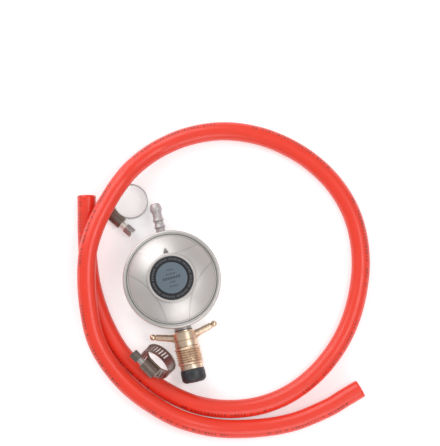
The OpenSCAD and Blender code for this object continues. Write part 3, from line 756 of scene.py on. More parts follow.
@dataclass(frozen=True)
class Thread:
    """Screw thread on a turned cylinder about Z."""

    crest_r: float
    depth: float
    pitch: float
    start: float
    end: float
    hand: Hand
    rings: int = 12
    skin: float = 0.2
    flank: float = 1.35
    crest_flat: float = 0.12

    def corners(self, runout: float = 0.0) -> list[Corner]:
        """Corners of an outline close together along the thread, up to a runout before its end."""
        step = self.pitch / self.rings
        count = int((self.end - runout - self.start) / step)
        return [(self.crest_r, self.start + step * index, 0.0) for index in range(count + 1)]

    def cut(self, mesh: Mesh) -> None:
        """Sinks the thread's grooves into a turned mesh.

        Args:
            mesh: Mesh that was turned from an outline with the thread's corners.
        """
        for vertex in mesh.verts:
            radius = math.hypot(vertex.co.x, vertex.co.y) / MM
            along = vertex.co.z / MM
            if radius < self.crest_r - self.depth * self.skin or not self.start <= along <= self.end:
                continue
            turn = math.atan2(vertex.co.y, vertex.co.x) / FULL_TURN
            wave = abs(2 * ((along / self.pitch + self.hand.value * turn) % 1.0) - 1)
            fade = min(1.0, (along - self.start) / self.pitch, (self.end - along) / self.pitch)
            groove = min(1.0, max(0.0, self.flank * wave - self.crest_flat))
            share = 1 - self.depth * groove * max(0.0, fade) / radius
            vertex.co.x *= share
            vertex.co.y *= share


def rim(mesh: Mesh, ring: Ring) -> list[bmesh.types.BMEdge]:
    """The edges round a ring of vertices."""
    return [mesh.edges.get((ring[index - 1], ring[index])) for index in range(len(ring))]


def sweep(mesh: Mesh, sections: Sequence[tuple[Matrix, float]], sides: int) -> list[Ring]:
    """Draws a round section along placed frames by extruding its rim from ring to ring.

    Args:
        mesh: Mesh that takes the tube.
        sections: Frame and radius in metres of each ring.
        sides: Points in each ring.

    Returns:
        The rings' vertices in order.
    """
    ring = bmesh.ops.create_circle(mesh, segments=sides, radius=1.0)["verts"]
    unit = [vertex.co.copy() for vertex in ring]
    rings: list[Ring] = []
    for place, radius in sections:
        if rings:
            grown = set(bmesh.ops.extrude_edge_only(mesh, edges=rim(mesh, ring))["geom"])
            near = [[edge.other_vert(vertex) for edge in vertex.link_edges] for vertex in ring]
            ring = [next(vertex for vertex in others if vertex in grown) for others in near]
        for vertex, start in zip(ring, unit):
            vertex.co = place @ (start * radius)
        rings.append(ring)
    return rings


def join(mesh: Mesh, other: Mesh) -> None:
    """Adds another mesh to a mesh.

    Args:
        mesh: Mesh that takes the other.
        other: The other mesh, freed by this call.
    """
    data = bpy.data.meshes.new("joined")
    other.to_mesh(data)
    other.free()
    mesh.from_mesh(data)
    bpy.data.meshes.remove(data)


def add_object(name: str, data: bpy.types.ID) -> bpy.types.Object:
    """Adds an object to the scene.

    Args:
        name: Name of the object.
        data: Its mesh, lamp or camera.

    Returns:
        The object.
    """
    item = bpy.data.objects.new(name, data)
    bpy.context.scene.collection.objects.link(item)
    return item


@dataclass
class SubAssembly:
    """Pieces that belong together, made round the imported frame."""

    frame: dict

    def build(self) -> None:
        """Makes the sub-assembly's pieces."""
        raise NotImplementedError

    def slot(self, node: str) -> str:
        """The record's material slot of a solid."""
        rows = self.frame["record"]["subparts"]
        return next(row["material_slot"] for row in rows if row["node"] == node)

    def skin(self, node: str) -> Mesh:
        """Copies a solid's skin, merged and closed.

        Args:
            node: Name of the solid.

        Returns:
            The copy.
        """
        mesh = bmesh.new()
        mesh.from_mesh(self.frame["nodes"][node].data)
        bmesh.ops.remove_doubles(mesh, verts=mesh.verts, dist=MERGE)
        return mesh

    def piece(
        self,
        mesh: Mesh,
        name: str,
        finish: Finish,
        body: Optional[Body] = Body.SET,
        place: Matrix = AT_ORIGIN,
        smooth: float = 35.0,
    ) -> Piece:
        """Turns a mesh into a piece in its place.

        Args:
            mesh: The mesh, freed by this call.
            name: Name of the piece.
            finish: Its finish.
            body: Body that it rides on, or none for a piece that rides on no body.
            place: Where it goes.
            smooth: Edges sharper than this many degrees stay sharp.

        Returns:
            The piece.
        """
        bmesh.ops.transform(mesh, matrix=place, verts=mesh.verts)
        mesh.normal_update()
        for edge in mesh.edges:
            edge.smooth = edge.calc_face_angle(0.0) <= math.radians(smooth)
        for face in mesh.faces:
            face.smooth = True
        data = bpy.data.meshes.new(name)
        mesh.to_mesh(data)
        mesh.free()
        piece = add_object(name, data)
        data.materials.append(finish.material())
        if body:
            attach(piece, body.value)
        LOG.info("made %s: %d faces", name, len(data.polygons))
        return piece

    def stand_in(self, node: str, mesh: Mesh, name: str, **details: object) -> Piece:
        """Turns a mesh into a piece that stands for a solid, in the solid's finish, and hides the solid.

        Args:
            node: Name of the solid.
            mesh: The mesh, freed by this call.
            name: Name of the piece.
            **details: Body, place and smoothing, as for any piece.

        Returns:
            The piece.
        """
        piece = self.piece(mesh, name, NODE_FINISH[node], **details)
        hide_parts(node)
        return piece

    def dressed(
        self,
        node: str,
        name: str,
        edge: float = 0.0,
        smooth: float = 32.0,
        mesh: Optional[Mesh] = None,
        body: Optional[Body] = Body.SET,
    ) -> Piece:
        """Makes a solid's own skin, with soft edges, stand for the solid.

        Args:
            node: Name of the solid.
            name: Name of the piece.
            edge: Width of the broken edges, in millimetres.
            smooth: Edges sharper than this many degrees are broken.
            mesh: The skin, where it has been worked on already.
            body: Body that it rides on, or none for a piece that rides on no body.

        Returns:
            The piece.
        """
        piece = self.stand_in(node, mesh or self.skin(node), name, body=body, smooth=smooth)
        piece.data.attributes.remove(piece.data.attributes["custom_normal"])
        if edge > 0:
            bevel = piece.modifiers.new("soft_edges", "BEVEL")
            bevel.width = edge * MM
            bevel.segments = EDGE_SPANS
            bevel.limit_method = "ANGLE"
            bevel.angle_limit = math.radians(smooth)
            bevel.harden_normals = True
        return piece


@dataclass
class Viewpoint:
    """The photograph's view, nearly straight down through a long lens."""

    width_px: int = 440
    height_px: int = 446
    mm_per_px: float = 0.76
    origin_px: Pair = (172.4, 282.2)
    up: Vector = field(default_factory=lambda: Vector((0.2215, 0.975, 0)).normalized())
    elevation: float = 85.0
    distance: float = 3.0
    sensor: float = 36.0

    def build(self) -> None:
        """Makes the camera, aimed at the point of the floor that the middle of the image shows."""
        tilt = math.radians(self.elevation)
        right = self.up.cross(UP)
        back = UP * math.sin(tilt) - self.up * math.cos(tilt)
        turn = Matrix((right, back.cross(right), back)).transposed().to_4x4()
        pixel = self.mm_per_px * MM
        across = (self.width_px / 2 - self.origin_px[0]) * pixel
        rise = (self.origin_px[1] - self.height_px / 2) * pixel
        target = right * across + self.up * rise
        lens = bpy.data.cameras.new("camera")
        lens.sensor_fit = "VERTICAL"
        lens.sensor_height = self.sensor
        lens.lens = self.sensor * self.distance / (self.height_px * pixel)
        camera = add_object("camera", lens)
        camera.matrix_world = Matrix.Translation(target + back * self.distance) @ turn
        bpy.context.scene.camera = camera


@dataclass(frozen=True)
class Lamp:
    """One soft round lamp, placed by its bearing and height over the set in degrees."""

    name: str
    bearing: float
    height: float
    size: float
    power: float

    def hang(self, reach: float) -> None:
        """Hangs the lamp round the set, aimed at its middle.

        Args:
            reach: Distance from the middle of the set.
        """
        glow = bpy.data.lights.new(self.name, "AREA")
        glow.shape = "DISK"
        glow.size = self.size
        glow.energy = self.power
        turn, rise = math.radians(self.bearing), math.radians(self.height)
        flat = math.cos(rise) * reach
        place = Vector((flat * math.cos(turn), flat * math.sin(turn), math.sin(rise) * reach))
        aim = (-place).to_track_quat("-Z", "Y").to_matrix().to_4x4()
        add_object(self.name, glow).matrix_world = Matrix.Translation(place) @ aim


@dataclass
class Studio:
    """Pale floor and soft studio light, in metres and watts."""

    floor_size: float = 12.0
    floor_colour: Colour = srgb(246, 246, 247)
    floor_glow: float = 0.4
    floor_roughness: float = 0.9
    floor_shine: float = 0.1
    world_strength: float = 0.46
    reach: float = 2.0
    lamps: Sequence[Lamp] = (
        Lamp("key_light", 112.0, 33.0, 1.9, 22.0),
        Lamp("fill_light", -84.0, 33.0, 1.5, 11.5),
        Lamp("top_light", -13.0, 62.0, 1.0, 8.5),
    )

    def floor(self) -> None:
        """Makes the floor, which shows white to the eye and keeps the set's shadow."""
        mesh = bmesh.new()
        bmesh.ops.create_grid(mesh, x_segments=1, y_segments=1, size=self.floor_size / 2)
        data = bpy.data.meshes.new("floor")
        mesh.to_mesh(data)
        mesh.free()
        graph = Graph("floor_paper")
        graph.set(base_color=self.floor_colour, roughness=self.floor_roughness)
        graph.set(specular_ior_level=self.floor_shine)
        seen = graph.add("LightPath", {}, "Is Camera Ray")
        rays = seen.node.outputs
        for ray in ("Is Glossy Ray", "Is Transmission Ray"):
            seen = graph.math("MAXIMUM", seen, rays[ray])
        glow = graph.math("MULTIPLY", seen, self.floor_glow)
        graph.set(emission_color=self.floor_colour, emission_strength=glow)
        data.materials.append(graph.material)
        add_object("floor", data)

    def world(self) -> None:
        """Sets a plain world, white behind the set and even all round it."""
        world = bpy.data.worlds.new("studio")
        bpy.context.scene.world = world
        world.use_nodes = True
        ambient = world.node_tree.nodes["Background"]
        ambient.inputs["Color"].default_value = (1, 1, 1, 1)
        ambient.inputs["Strength"].default_value = self.world_strength

    def build(self) -> None:
        """Makes floor, world and lamps."""
        self.floor()
        self.world()
        for lamp in self.lamps:
            lamp.hang(self.reach)
        bpy.context.scene.view_settings.view_transform = "Standard"


@dataclass
class Hose(SubAssembly):
    """Orange hose of one metre, laid once and a half round the regulator, its bore open at both ends."""

    outer: float = 14.0
    bore: float = 8.0
    floor_gap: float = 0.1
    edge: float = 0.5
    sides: int = 40
    span_steps: int = 8
    route: Sequence[Point] = (
        (-49, 78, 0), (-52, 64, 0), (-55, 50, 0), (-59, 26, 0), (-60, 4, 0), (-57, -20, 0), (-50, -43, 0),
        (-38, -63, 0), (-22, -81, 0), (-1, -96, 0), (24, -104.5, 0), (50, -106, 0), (75, -100, 0),
        (98, -87, 0), (118, -68, 0), (133, -44, 0), (143, -15, 0), (144.5, 16, 0), (136, 45, 0),
        (118, 71, 0), (93, 91, 0), (65, 102.5, 0), (37, 105, 0), (12, 100.5, 0.5), (-8, 91.5, 5.5),
        (-22, 81, 10.5), (-35, 68, 12), (-47, 53, 14), (-57, 35, 15), (-63, 14, 14.5), (-66, -8, 13),
        (-66, -30, 11), (-60.5, -50, 9.5), (-50, -70, 8), (-35, -88, 6.5), (-16, -104, 4.5), (9, -116, 1),
        (38, -122.5, 0), (66, -124, 0), (93, -119.5, 0), (107, -115, 0), (121, -110.5, 0),
    )

    def path(self) -> list[Vector]:
        """Smooth middle line through the route's points, with straight ends.

        Returns:
            Points of the line in metres, from the end beside the first clip.
        """
        rise = self.outer / 2 + self.floor_gap
        knots = [Vector((x, y, z + rise)) * MM for x, y, z in self.route]
        shares = [step / self.span_steps for step in range(self.span_steps)]
        line = [knots[0].lerp(knots[1], share) for share in shares]
        for first, here, there, last in zip(knots, knots[1:], knots[2:], knots[3:]):
            pull = there - first
            swing = 2 * first - 5 * here + 4 * there - last
            twist = 3 * here - first - 3 * there + last
            line += [here + (pull + (swing + twist * share) * share) * share / 2 for share in shares]
        return line + [knots[-2].lerp(knots[-1], share) for share in (*shares, 1.0)]

    @staticmethod
    def frames(line: list[Vector]) -> list[Matrix]:
        """Turned frames along a line, with Z along it and X level.

        Args:
            line: Points of the line.

        Returns:
            One placed frame for each point.
        """
        placed = []
        for before, point, after in zip(line[:1] + line, line, line[1:] + line[-1:]):
            run = (after - before).normalized()
            side = run.cross(UP).normalized()
            turn = Matrix((side, run.cross(side), run)).transposed().to_4x4()
            placed.append(Matrix.Translation(point) @ turn)
        return placed

    def sections(self, line: list[Vector]) -> list[tuple[Matrix, float, float]]:
        """Rings of the closed tube: out along the cover, round the cut end and back through the bore.

        Args:
            line: Middle line of the hose.

        Returns:
            Frame, radius in metres and distance along the hose of each ring.
        """
        frames = self.frames(line)
        reach = [0.0]
        for before, after in zip(line, line[1:]):
            reach.append(reach[-1] + (after - before).length)
        outer, bore, edge = self.outer / 2 * MM, self.bore / 2 * MM, self.edge * MM
        wall = [(frame, outer, along) for frame, along in zip(frames, reach)]
        lining = [(frame, bore, along) for frame, along in zip(frames, reach)]
        wall[0] = (frames[0], outer - edge, 0.0)
        wall.insert(1, (frames[0] @ Matrix.Translation((0, 0, edge)), outer, edge))
        wall[-1] = (frames[-1], outer - edge, reach[-1])
        wall.insert(-1, (frames[-1] @ Matrix.Translation((0, 0, -edge)), outer, reach[-1] - edge))
        return wall + lining[::-1]

    def unwrap(self, mesh: Mesh, rings: list[Ring], reach: list[float]) -> None:
        """Gives the hose its UV map, once round it and along it in metres.

        Args:
            mesh: Mesh of the hose, with the map's layer.
            rings: Its rings of vertices.
            reach: Distance of each ring along the hose.
        """
        layer = mesh.loops.layers.uv.active
        spots = {
            vertex: (side, along) for ring, along in zip(rings, reach) for side, vertex in enumerate(ring)
        }
        half = self.sides / 2
        for face in mesh.faces:
            sides = [spots[vertex][0] for vertex in face.verts]
            wraps = max(sides) - min(sides) > half
            for loop in face.loops:
                side, along = spots[loop.vert]
                around = side + self.sides if wraps and side < half else side
                loop[layer].uv = (around / self.sides, along)

    def build(self) -> None:
        line = self.path()
        places, radii, reach = zip(*self.sections(line))
        mesh = bmesh.new()
        mesh.loops.layers.uv.new("along_hose")
        rings = sweep(mesh, list(zip(places, radii)), self.sides)
        bmesh.ops.bridge_loops(mesh, edges=rim(mesh, rings[0]) + rim(mesh, rings[-1]))
        self.unwrap(mesh, rings, reach)
        bmesh.ops.recalc_face_normals(mesh, faces=mesh.faces)
        piece = self.stand_in("hose", mesh, "hose_cover", smooth=50.0)


@dataclass
class Inlet(SubAssembly):
    """Brass wing nut with its left-hand thread, and the rubber nose. Distances run out from the middle."""

    axis_z: float = 13.0
    nut_start: float = 39.7
    collar_end: float = 51.1
    nut_end: float = 65.0
    collar_r: float = 9.0
    groove_at: float = 6.5
    groove_half: float = 0.3
    groove_depth: float = 0.28
    relief_r: float = 8.4
    relief_len: float = 0.8
    thread_r: float = 10.0
    thread_depth: float = 1.0
    thread_stop: float = 0.2
    runout: float = 0.8
    pitch: float = 1.814
    chamfer: float = 0.9
    bore_r: float = 6.3
    mouth_r: float = 7.2
    mouth_depth: float = 2.0
    wing_root: Pair = (6.8, 43.5)
    wing_tip: Pair = (23.6, 38.6)
    wing_root_r: float = 2.75
    wing_tip_r: float = 2.4
    wing_slim: float = 0.96
    wing_flare: Sequence[Pair] = ((0.9, 0.0), (0.25, 2.6), (0.0, 4.0))
    wing_taper: Sequence[Pair] = ((0.2, 0.6), (0.0, 0.86))
    nose_start: float = 68.6
    nose_end: float = 78.5
    nose_r: float = 9.3
    nose_round: float = 3.5
    nose_draft: float = 0.3
    nose_draft_len: float = 2.5
    nose_hole_r: float = 3.5
    spigot_r: float = 5.55
    spigot_end: float = 74.05

    def thread(self) -> Thread:
        """The nut's left-hand thread."""
        start, end = self.collar_end + self.relief_len, self.nut_end - self.thread_stop
        return Thread(self.thread_r, self.thread_depth, self.pitch, start, end, Hand.LEFT)

    def wing(self) -> Mesh:
        """One wing: a tapered bar with a flared root and a round end, turned about its own axis.

        Returns:
            The wing in its place on the nut.
        """
        run = Vector(self.wing_tip) - Vector(self.wing_root)
        slim = self.wing_tip_r * self.wing_slim
        corners = [(0.0, 0.0, 0.0)]
        corners += [(self.wing_root_r + more, along, 0.0) for more, along in self.wing_flare]
        corners += [(slim + more, run.length * share, 0.0) for more, share in self.wing_taper]
        corners += arc((0.0, run.length), self.wing_tip_r, range(-50, 90, 10))
        mesh = lathe([*corners, (0.0, run.length + self.wing_tip_r, 0.0)], segments=32, closed=False)
        tilt = Matrix.Rotation(math.pi / 2 - math.atan2(run.y, run.x), 4, "Y")
        shift = Matrix.Translation((self.wing_root[0] * MM, 0, self.wing_root[1] * MM))
        bmesh.ops.transform(mesh, matrix=shift @ tilt, verts=mesh.verts)
        return mesh

    def nut(self) -> Mesh:
        """The nut's collar and thread with both wings.

        Returns:
            The nut along Z.
        """
        start, end, collar, thread = self.nut_start, self.nut_end, self.collar_end, self.thread()
        groove = start + self.groove_at
        corners = [
            (self.mouth_r, start, 0.25),
            (self.collar_r, start, 0.8),
            (self.collar_r, groove - self.groove_half, 0.0),
            (self.collar_r - self.groove_depth, groove, 0.0),
            (self.collar_r, groove + self.groove_half, 0.0),
            (self.collar_r, collar, 0.7),
            (self.relief_r, collar, 0.15),
            (self.relief_r, thread.start, 0.15),
            *thread.corners(self.runout),
            (self.thread_r, end - self.chamfer, 0.0),
            (self.thread_r - self.chamfer, end, 0.2),
            (self.bore_r, end, 0.3),
            (self.bore_r, start + self.mouth_depth, 0.1),
            (self.mouth_r, start + self.mouth_depth, 0.1),
        ]
        mesh = lathe(corners, segments=120)
        thread.cut(mesh)
        for turn in (0.0, math.pi):
            wing = self.wing()
            bmesh.ops.transform(wing, matrix=Matrix.Rotation(turn, 4, "Z"), verts=wing.verts)
            join(mesh, wing)
        return mesh

    def nose(self) -> Mesh:
        """The rubber nose, hollow over the nipple's spigot.

        Returns:
            The nose along Z.
        """
        shoulder = (self.nose_r - self.nose_round, self.nose_end - self.nose_round)
        corners = [
            (self.spigot_r, self.nose_start, 0.2),
            (self.nose_r - self.nose_draft, self.nose_start, 0.5),
            (self.nose_r, self.nose_start + self.nose_draft_len, 0.8),
            *arc(shoulder, self.nose_round, range(0, 91, 9)),
            (self.nose_hole_r, self.nose_end, 0.7),
            (self.nose_hole_r, self.spigot_end, 0.1),
            (self.spigot_r, self.spigot_end, 0.1),
        ]
        return lathe(corners, steps=8)

    def build(self) -> None:
        """Makes the nut and the nose along the inlet."""
        place = Matrix.Translation(UP * self.axis_z * MM) @ Matrix.Rotation(math.pi / 2, 4, "X")
        self.stand_in("wing_nut", self.nut(), "inlet_wing_nut", body=Body.NUT, place=place, smooth=40.0)
        self.stand_in("nose_seal", self.nose(), "inlet_nose", place=place)


@dataclass
class Outlet(SubAssembly):
    """Grey hose barb. Distances run out from the middle of the regulator."""

    axis_z: float = 13.0
    start: float = 29.0
    boss_end: float = 36.0
    end: float = 60.0
    shank_r: float = 4.3
    neck_r: float = 3.5
    ridge_r: float = 4.3
    ridges: Pair = (41.3, 46.5)
    ridge_back: float = 0.3
    ridge_land: float = 0.4
    ridge_run: float = 2.8
    bulb_r: float = 4.45
    bulb: float = 55.4
    bulb_rise: float = 2.8
    bulb_half: float = 1.0
    tip_len: float = 1.6
    tip_in: Pair = (0.5, 1.3)
    bore_r: float = 2.5

    def corners(self) -> list[Corner]:
        """Outline of the barb from its bore's inner end.

        Returns:
            The outline's corners.
        """
        corners = [
            (self.bore_r, self.start, 0.1),
            (self.shank_r, self.start, 0.2),
            (self.shank_r, self.boss_end, 0.1),
            (self.neck_r, self.boss_end, 0.2),
        ]
        for ridge in self.ridges:
            corners += [
                (self.neck_r, ridge - self.ridge_back, 0.15),
                (self.ridge_r, ridge, 0.12),
                (self.ridge_r, ridge + self.ridge_land, 0.3),
                (self.neck_r, ridge + self.ridge_run, 1.5),
            ]
        return corners + [
            (self.neck_r, self.bulb - self.bulb_rise, 1.2),
            (self.bulb_r, self.bulb - self.bulb_half, 0.8),
            (self.bulb_r, self.bulb + self.bulb_half, 1.2),
            (self.bulb_r - self.tip_in[0], self.end - self.tip_len, 1.2),
            (self.bulb_r - self.tip_in[1], self.end, 0.5),
            (self.bore_r, self.end, 0.3),
        ]

    def build(self) -> None:
        """Makes the barb."""
        place = Matrix.Translation(UP * self.axis_z * MM) @ Matrix.Rotation(-math.pi / 2, 4, "X")
        self.stand_in("outlet_barb", lathe(self.corners(), segments=64), "hose_barb", place=place)


@dataclass
class Regulator(SubAssembly):
    """Cover, bowl, black cap and label disc. Each row of the label has a count of ticks, their pitch and
    their height."""

    cap_r: float = 16.4
    cap_seat: float = 41.1
    cap_top: float = 43.7
    cap_plug_r: float = 12.95
    cap_plug: float = 39.0
    groove_at: float = 0.8
    groove_half: float = 0.2
    groove_depth: float = 0.16
    label_r: float = 11.8
    label_gap: float = 0.05
    label_sink: float = 0.4
    label_top: float = 43.9
    tick_count: int = 72
    tick_gap: int = 9
    tick_short_every: int = 3
    tick_ring: float = 14.3
    tick_long: float = 1.5
    tick_short: float = 0.7
    tick_w: float = 0.42
    tick_h: float = 0.03
    rows: Sequence[tuple[int, float, float]] = (
        (5, 1.05, 0.9), (7, 1.05, 0.9), (11, 1.25, 1.9), (4, 1.05, 0.9), (6, 1.05, 0.9)
    )
    row_pitch: float = 3.1
    row_turn: float = 2.0
    row_ink: float = 0.55
    rim_top: float = 30.5
    rim_flat: float = 34.25
    line_margin: float = 0.42
    line_depth: float = 0.3
    arrow_y: float = 21.8
    arrow_side: float = 3.6
    arrow_slack: float = 0.05
    level_slack: float = 0.01
    cover_smooth: float = 24.0

    def cap(self) -> Mesh:
        """The cap: a plug in the sleeve under a flat, grooved ring with a recess for the label.

        Returns:
            The cap in its place.
        """
        top, floor = self.cap_top, self.cap_top - self.label_sink
        groove, recess = self.label_r + self.groove_at, self.label_r + self.label_gap
        corners = [
            (0.0, self.cap_plug, 0.0),
            (self.cap_plug_r, self.cap_plug, 0.4),
            (self.cap_plug_r, self.cap_seat, 0.1),
            (self.cap_r, self.cap_seat, 0.2),
            (self.cap_r, top, 0.8),
            (groove + self.groove_half, top, 0.0),
            (groove, top - self.groove_depth, 0.0),
            (groove - self.groove_half, top, 0.0),
            (recess, top, 0.12),
            (recess, floor, 0.0),
            (0.0, floor, 0.0),
        ]
        return lathe(corners, segments=128, closed=False)

    def label(self) -> Mesh:
        """The label: a thin disc with a soft edge.

        Returns:
            The label in its place.
        """
        low, top = self.cap_top - self.label_sink, self.label_top
        corners = [(0.0, low, 0.0), (self.label_r, low, 0.0), (self.label_r, top, 0.18), (0.0, top, 0.0)]
        return lathe(corners, segments=128, closed=False)

    def print_bar(self, mesh: Mesh, place: Matrix, size: Pair, top: float) -> None:
        """Adds one flat bar of print to a mesh.

        Args:
            mesh: Mesh that takes the bar.
            place: Turn and shift of the bar in the plane of the print, in millimetres.
            size: Its length and width.
            top: Height of the surface that is printed.
        """
        bar = Matrix.Diagonal((*size, 2 * self.tick_h, 1))
        lift = Matrix.Translation(UP * top)
        bmesh.ops.create_cube(mesh, size=1.0, matrix=Matrix.Scale(MM, 4) @ lift @ place @ bar)

    def ring_print(self) -> Mesh:
        """Plain ticks round the cap's ring, in groups.

        Returns:
            The ticks in their places.
        """
        mesh = bmesh.new()
        for index in range(self.tick_count):
            if index % self.tick_gap == 0:
                continue
            turn = Matrix.Rotation(FULL_TURN * index / self.tick_count, 4, "Z")
            length = self.tick_long * (1.0 if index % self.tick_short_every else self.tick_short)
            place = turn @ Matrix.Translation((self.tick_ring, 0, 0))
            self.print_bar(mesh, place, (length, self.tick_w), self.cap_top)
        return mesh

    def label_print(self) -> Mesh:
        """Plain rows of ticks across the label.

        Returns:
            The ticks in their places.
        """
        mesh = bmesh.new()
        turn = Matrix.Rotation(math.radians(self.row_turn), 4, "Z")
        for row, (count, pitch, height) in enumerate(self.rows):
            rise = (len(self.rows) / 2 - 0.5 - row) * self.row_pitch
            for index in range(count):
                shift = Matrix.Translation(((index - count / 2 + 0.5) * pitch, rise, 0))
                self.print_bar(mesh, turn @ shift, (pitch * self.row_ink, height), self.label_top)
        return mesh

    def on_arrow(self, point: Vector) -> bool:
        """Whether a point of the cover lies on the flow arrow, which points to the outlet."""
        down = self.arrow_y + self.arrow_side / 2 - point.y / MM
        return abs(point.x) / MM <= down / 2 + self.arrow_slack and down <= self.arrow_side + self.arrow_slack

    def on_rim(self, point: Vector) -> bool:
        """Whether a point of the cover lies on the rim's flat top."""
        level = abs(point.z / MM - self.rim_top) < self.level_slack
        return level and point.xy.length / MM > self.rim_flat

    def cover(self) -> None:
        """Dresses the cover, with a narrow channel in its rim and its flow arrow in a darker paint, painted
        shade on the raised arrow.
        """
        mesh = self.skin("cover")
        flat = [face for face in mesh.faces if all(self.on_rim(corner.co) for corner in face.verts)]
        margin = self.line_margin * MM
        bmesh.ops.inset_region(mesh, faces=flat, thickness=margin, use_boundary=True, use_even_offset=True)
        sunk = list({corner for face in flat for corner in face.verts})
        bmesh.ops.translate(mesh, vec=-UP * self.line_depth * MM, verts=sunk)
        # The arrow's faces take the darker paint, painted shade on the raised arrow
        for face in mesh.faces:
            face.material_index = int(all(self.on_arrow(corner.co) for corner in face.verts))
        piece = self.dressed("cover", "silver_cover", smooth=self.cover_smooth, mesh=mesh)
        piece.data.materials.append(ARROW_SHADE_PAINT.material())

    def build(self) -> None:
        """Makes the regulator's outer pieces."""
        self.cover()
        self.dressed("lower_body", "lower_bowl")
        self.stand_in("closing_cap", self.cap(), "black_cap")
        self.stand_in("label_disc", self.label(), "label_plate")
        self.piece(self.ring_print(), "ring_ticks", PALE_INK)
        self.slot("closing_cap")
        self.piece(self.label_print(), "label_ticks", DARK_INK)
        self.slot("label_disc")


@dataclass
class Spring(SubAssembly):
    """Main spring between the diaphragm's plate and the adjuster, which closes up as the diaphragm lifts."""

    mean_r: float = 10.4
    wire_r: float = 0.6
    low: float = 26.75
    high: float = 35.95
    seat: float = 36.0
    turns: float = 3.25
    steps: int = 48
    sides: int = 12
    lift: float = 3.0
    fitted: float = 9.3

    def coil(self) -> Mesh:
        """The helix with flat ends.

        Returns:
            The spring in its place.
        """
        count = int(self.turns * self.steps)
        climb = (self.high - self.low - 2 * self.wire_r) / count
        level = Matrix.Rotation(math.pi / 2, 4, "X")
        sections = []
        for step in range(count + 1):
            turn = Matrix.Rotation(FULL_TURN * step / self.steps, 4, "Z")
            rise = self.low + self.wire_r + climb * step
            shift = Matrix.Translation(Vector((self.mean_r, 0, rise)) * MM)
            sections.append((turn @ shift @ level, self.wire_r * MM))
        mesh = bmesh.new()
        rings = sweep(mesh, sections, self.sides)
        for ring in (rings[0], rings[-1]):
            bmesh.ops.contextual_create(mesh, geom=ring)
        bmesh.ops.recalc_face_normals(mesh, faces=mesh.faces)
        return mesh

    def build(self) -> None:
        """Makes the spring and gives it a mesh of its own."""
        piece = self.stand_in("main_spring", self.coil(), "main_coil_spring", smooth=50.0)
        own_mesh(piece)


@dataclass
class Diaphragm(SubAssembly):
    """Rubber diaphragm, whose roll stretches between its clamped edge and the plate that lifts."""

    roll_inner: float = 23.0
    roll_outer: float = 29.0

    def build(self) -> None:
        """Makes the diaphragm, riding on no body."""
        piece = self.dressed("diaphragm", "rubber_diaphragm", body=None)
        points = piece.data.vertices
        rest = [point.co.copy() for point in points]
        # Each point is set at its radius on X, the object's transform is baked in and each point is put back
        # where it was. The stretch is measured along one straight line, so each point stands at its radius
        # on X for it
        for point in points:
            point.co = (point.co.xy.length, 0, point.co.z)
        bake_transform(piece)
        for point, place in zip(points, rest):
            point.co = place


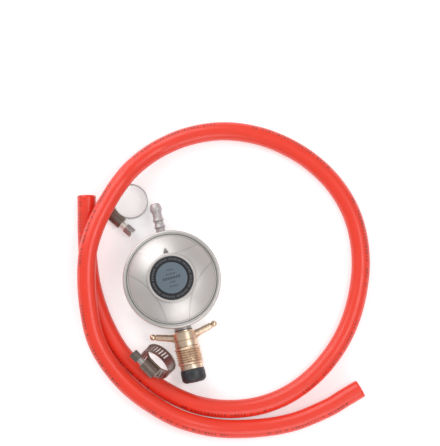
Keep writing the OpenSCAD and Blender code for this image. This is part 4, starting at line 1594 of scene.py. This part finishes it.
@dataclass
class Clip(SubAssembly):
    """One worm-drive clip: slotted band, pressed housing and screw. Its own frame has the band's axis on Z,
    the housing on +X and the screw's head on +Y, and lies at a place with a turn and a tilt in degrees."""

    number: int
    body: Body
    head_finish: Finish
    at: Point
    turn: float
    tilt: float
    worm_x: float = 17.3
    worm_r: float = 3.1
    worm_depth: float = 0.8
    worm_pitch: float = 1.9
    worm_from: float = -5.6
    worm_to: float = 4.8
    neck_r: float = 2.6
    neck_sink: float = 0.2
    head_from: float = 10.3
    head_len: float = 6.9
    head_r: float = 4.1
    head_edge: float = 0.25
    head_sharp: float = 30.0
    slot_w: float = 1.4
    slot_depth: float = 2.2
    band_edge: float = 0.08
    housing_edge: float = 0.12

    def place(self) -> Matrix:
        """Where the clip lies."""
        spin, lean = (math.radians(angle) for angle in (self.turn, self.tilt))
        turned = Matrix.Rotation(spin, 4, "Z") @ Matrix.Rotation(lean, 4, "Y")
        return Matrix.Translation(Vector(self.at) * MM) @ turned

    def shank(self) -> Mesh:
        """The screw's thread and bare neck.

        Returns:
            The shank along Z.
        """
        low, high = self.worm_from, self.worm_to
        thread = Thread(self.worm_r, self.worm_depth, self.worm_pitch, low, high, Hand.RIGHT)
        neck_end = self.head_from + self.neck_sink
        corners = [
            (0.0, low, 0.0),
            *thread.corners(),
            (self.worm_r, high, 0.2),
            (self.neck_r, high, 0.1),
            (self.neck_r, neck_end, 0.0),
            (0.0, neck_end, 0.0),
        ]
        mesh = lathe(corners, segments=64, closed=False)
        thread.cut(mesh)
        return mesh

    def head(self) -> Mesh:
        """The hexagonal head with its screwdriver slot and broken edges.

        Returns:
            The head along Z.
        """
        mesh = bmesh.new()
        radius, length = self.head_r * MM, self.head_len * MM
        bmesh.ops.create_cone(mesh, cap_ends=True, segments=6, radius1=radius, radius2=radius, depth=length)
        bmesh.ops.translate(mesh, vec=UP * (self.head_from * MM + length / 2), verts=mesh.verts)
        half = self.slot_w / 2 * MM
        floor = (self.head_from + self.head_len - self.slot_depth) * MM
        for point, normal in (((-half, 0, 0), (1, 0, 0)), ((half, 0, 0), (1, 0, 0)), ((0, 0, floor), UP)):
            everything = mesh.verts[:] + mesh.edges[:] + mesh.faces[:]
            bmesh.ops.bisect_plane(mesh, geom=everything, plane_co=point, plane_no=normal, dist=MERGE)
        middles = [(face, face.calc_center_median()) for face in mesh.faces]
        gone = [face for face, at in middles if abs(at.x) < half - MERGE and at.z > floor + MERGE]
        bmesh.ops.delete(mesh, geom=gone, context="FACES")
        bmesh.ops.holes_fill(mesh, edges=[edge for edge in mesh.edges if edge.is_boundary], sides=0)
        bmesh.ops.recalc_face_normals(mesh, faces=mesh.faces)
        sharp = math.radians(self.head_sharp)
        bmesh.ops.bevel(
            mesh,
            geom=[edge for edge in mesh.edges if edge.calc_face_angle(0.0) > sharp],
            offset=self.head_edge * MM,
            segments=EDGE_SPANS,
            profile=0.5,
            affect="EDGES",
            material=-1,
            clamp_overlap=True,
        )
        for face in mesh.faces:
            face.material_index = 1
        return mesh

    def build(self) -> None:
        """Makes the clip's three pieces, with the screw's head in a finish of its own."""
        name = f"clip_{self.number}"
        self.dressed(f"{name}_band", f"{name}_slotted_band", self.band_edge)
        self.dressed(f"{name}_housing", f"{name}_pressed_housing", self.housing_edge)
        mesh = self.shank()
        join(mesh, self.head())
        along = Matrix.Translation((self.worm_x * MM, 0, 0)) @ Matrix.Rotation(-math.pi / 2, 4, "X")
        place = self.place() @ along
        screw = self.stand_in(f"{name}_screw", mesh, f"{name}_worm_screw", body=self.body, place=place)
        screw.data.materials.append(self.head_finish.material())


def dress_solids(frame: dict) -> None:
    """Gives every solid that still shows its finish.

    Args:
        frame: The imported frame.
    """
    for name, finish in NODE_FINISH.items():
        node = frame["nodes"][name]
        if node.hide_render:
            continue
        node.data.materials.clear()
        node.data.materials.append(finish.material())
        LOG.info("dressed %s in %s", name, finish.name)


def main() -> None:
    """Builds the set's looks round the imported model."""
    logging.basicConfig(level=logging.INFO, format="%(name)s: %(message)s")
    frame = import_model()
    Viewpoint().build()
    Hose(frame).build()
    Studio().build()
    for part in (
        Regulator(frame),
        Inlet(frame),
        Outlet(frame),
        Spring(frame),
        Diaphragm(frame),
        # Clip 1's screw shank is in the paler steel, a painted highlight, and its head in the plain screw
        # steel
        Clip(frame, 1, Body.CLIP_1, SCREW_STEEL, (-17.4, 66.3, 5.35), 216.0, 0.0),
        # Clip 2's screw head is in the darker copy of the screw steel, painted shade
        Clip(frame, 2, Body.CLIP_2, SHADED_SCREW_STEEL, (-23.75, -57.0, 13.5794), 32.0, -123.0),
    ):
        part.build()
    dress_solids(frame)


if __name__ == "__main__":
    main()
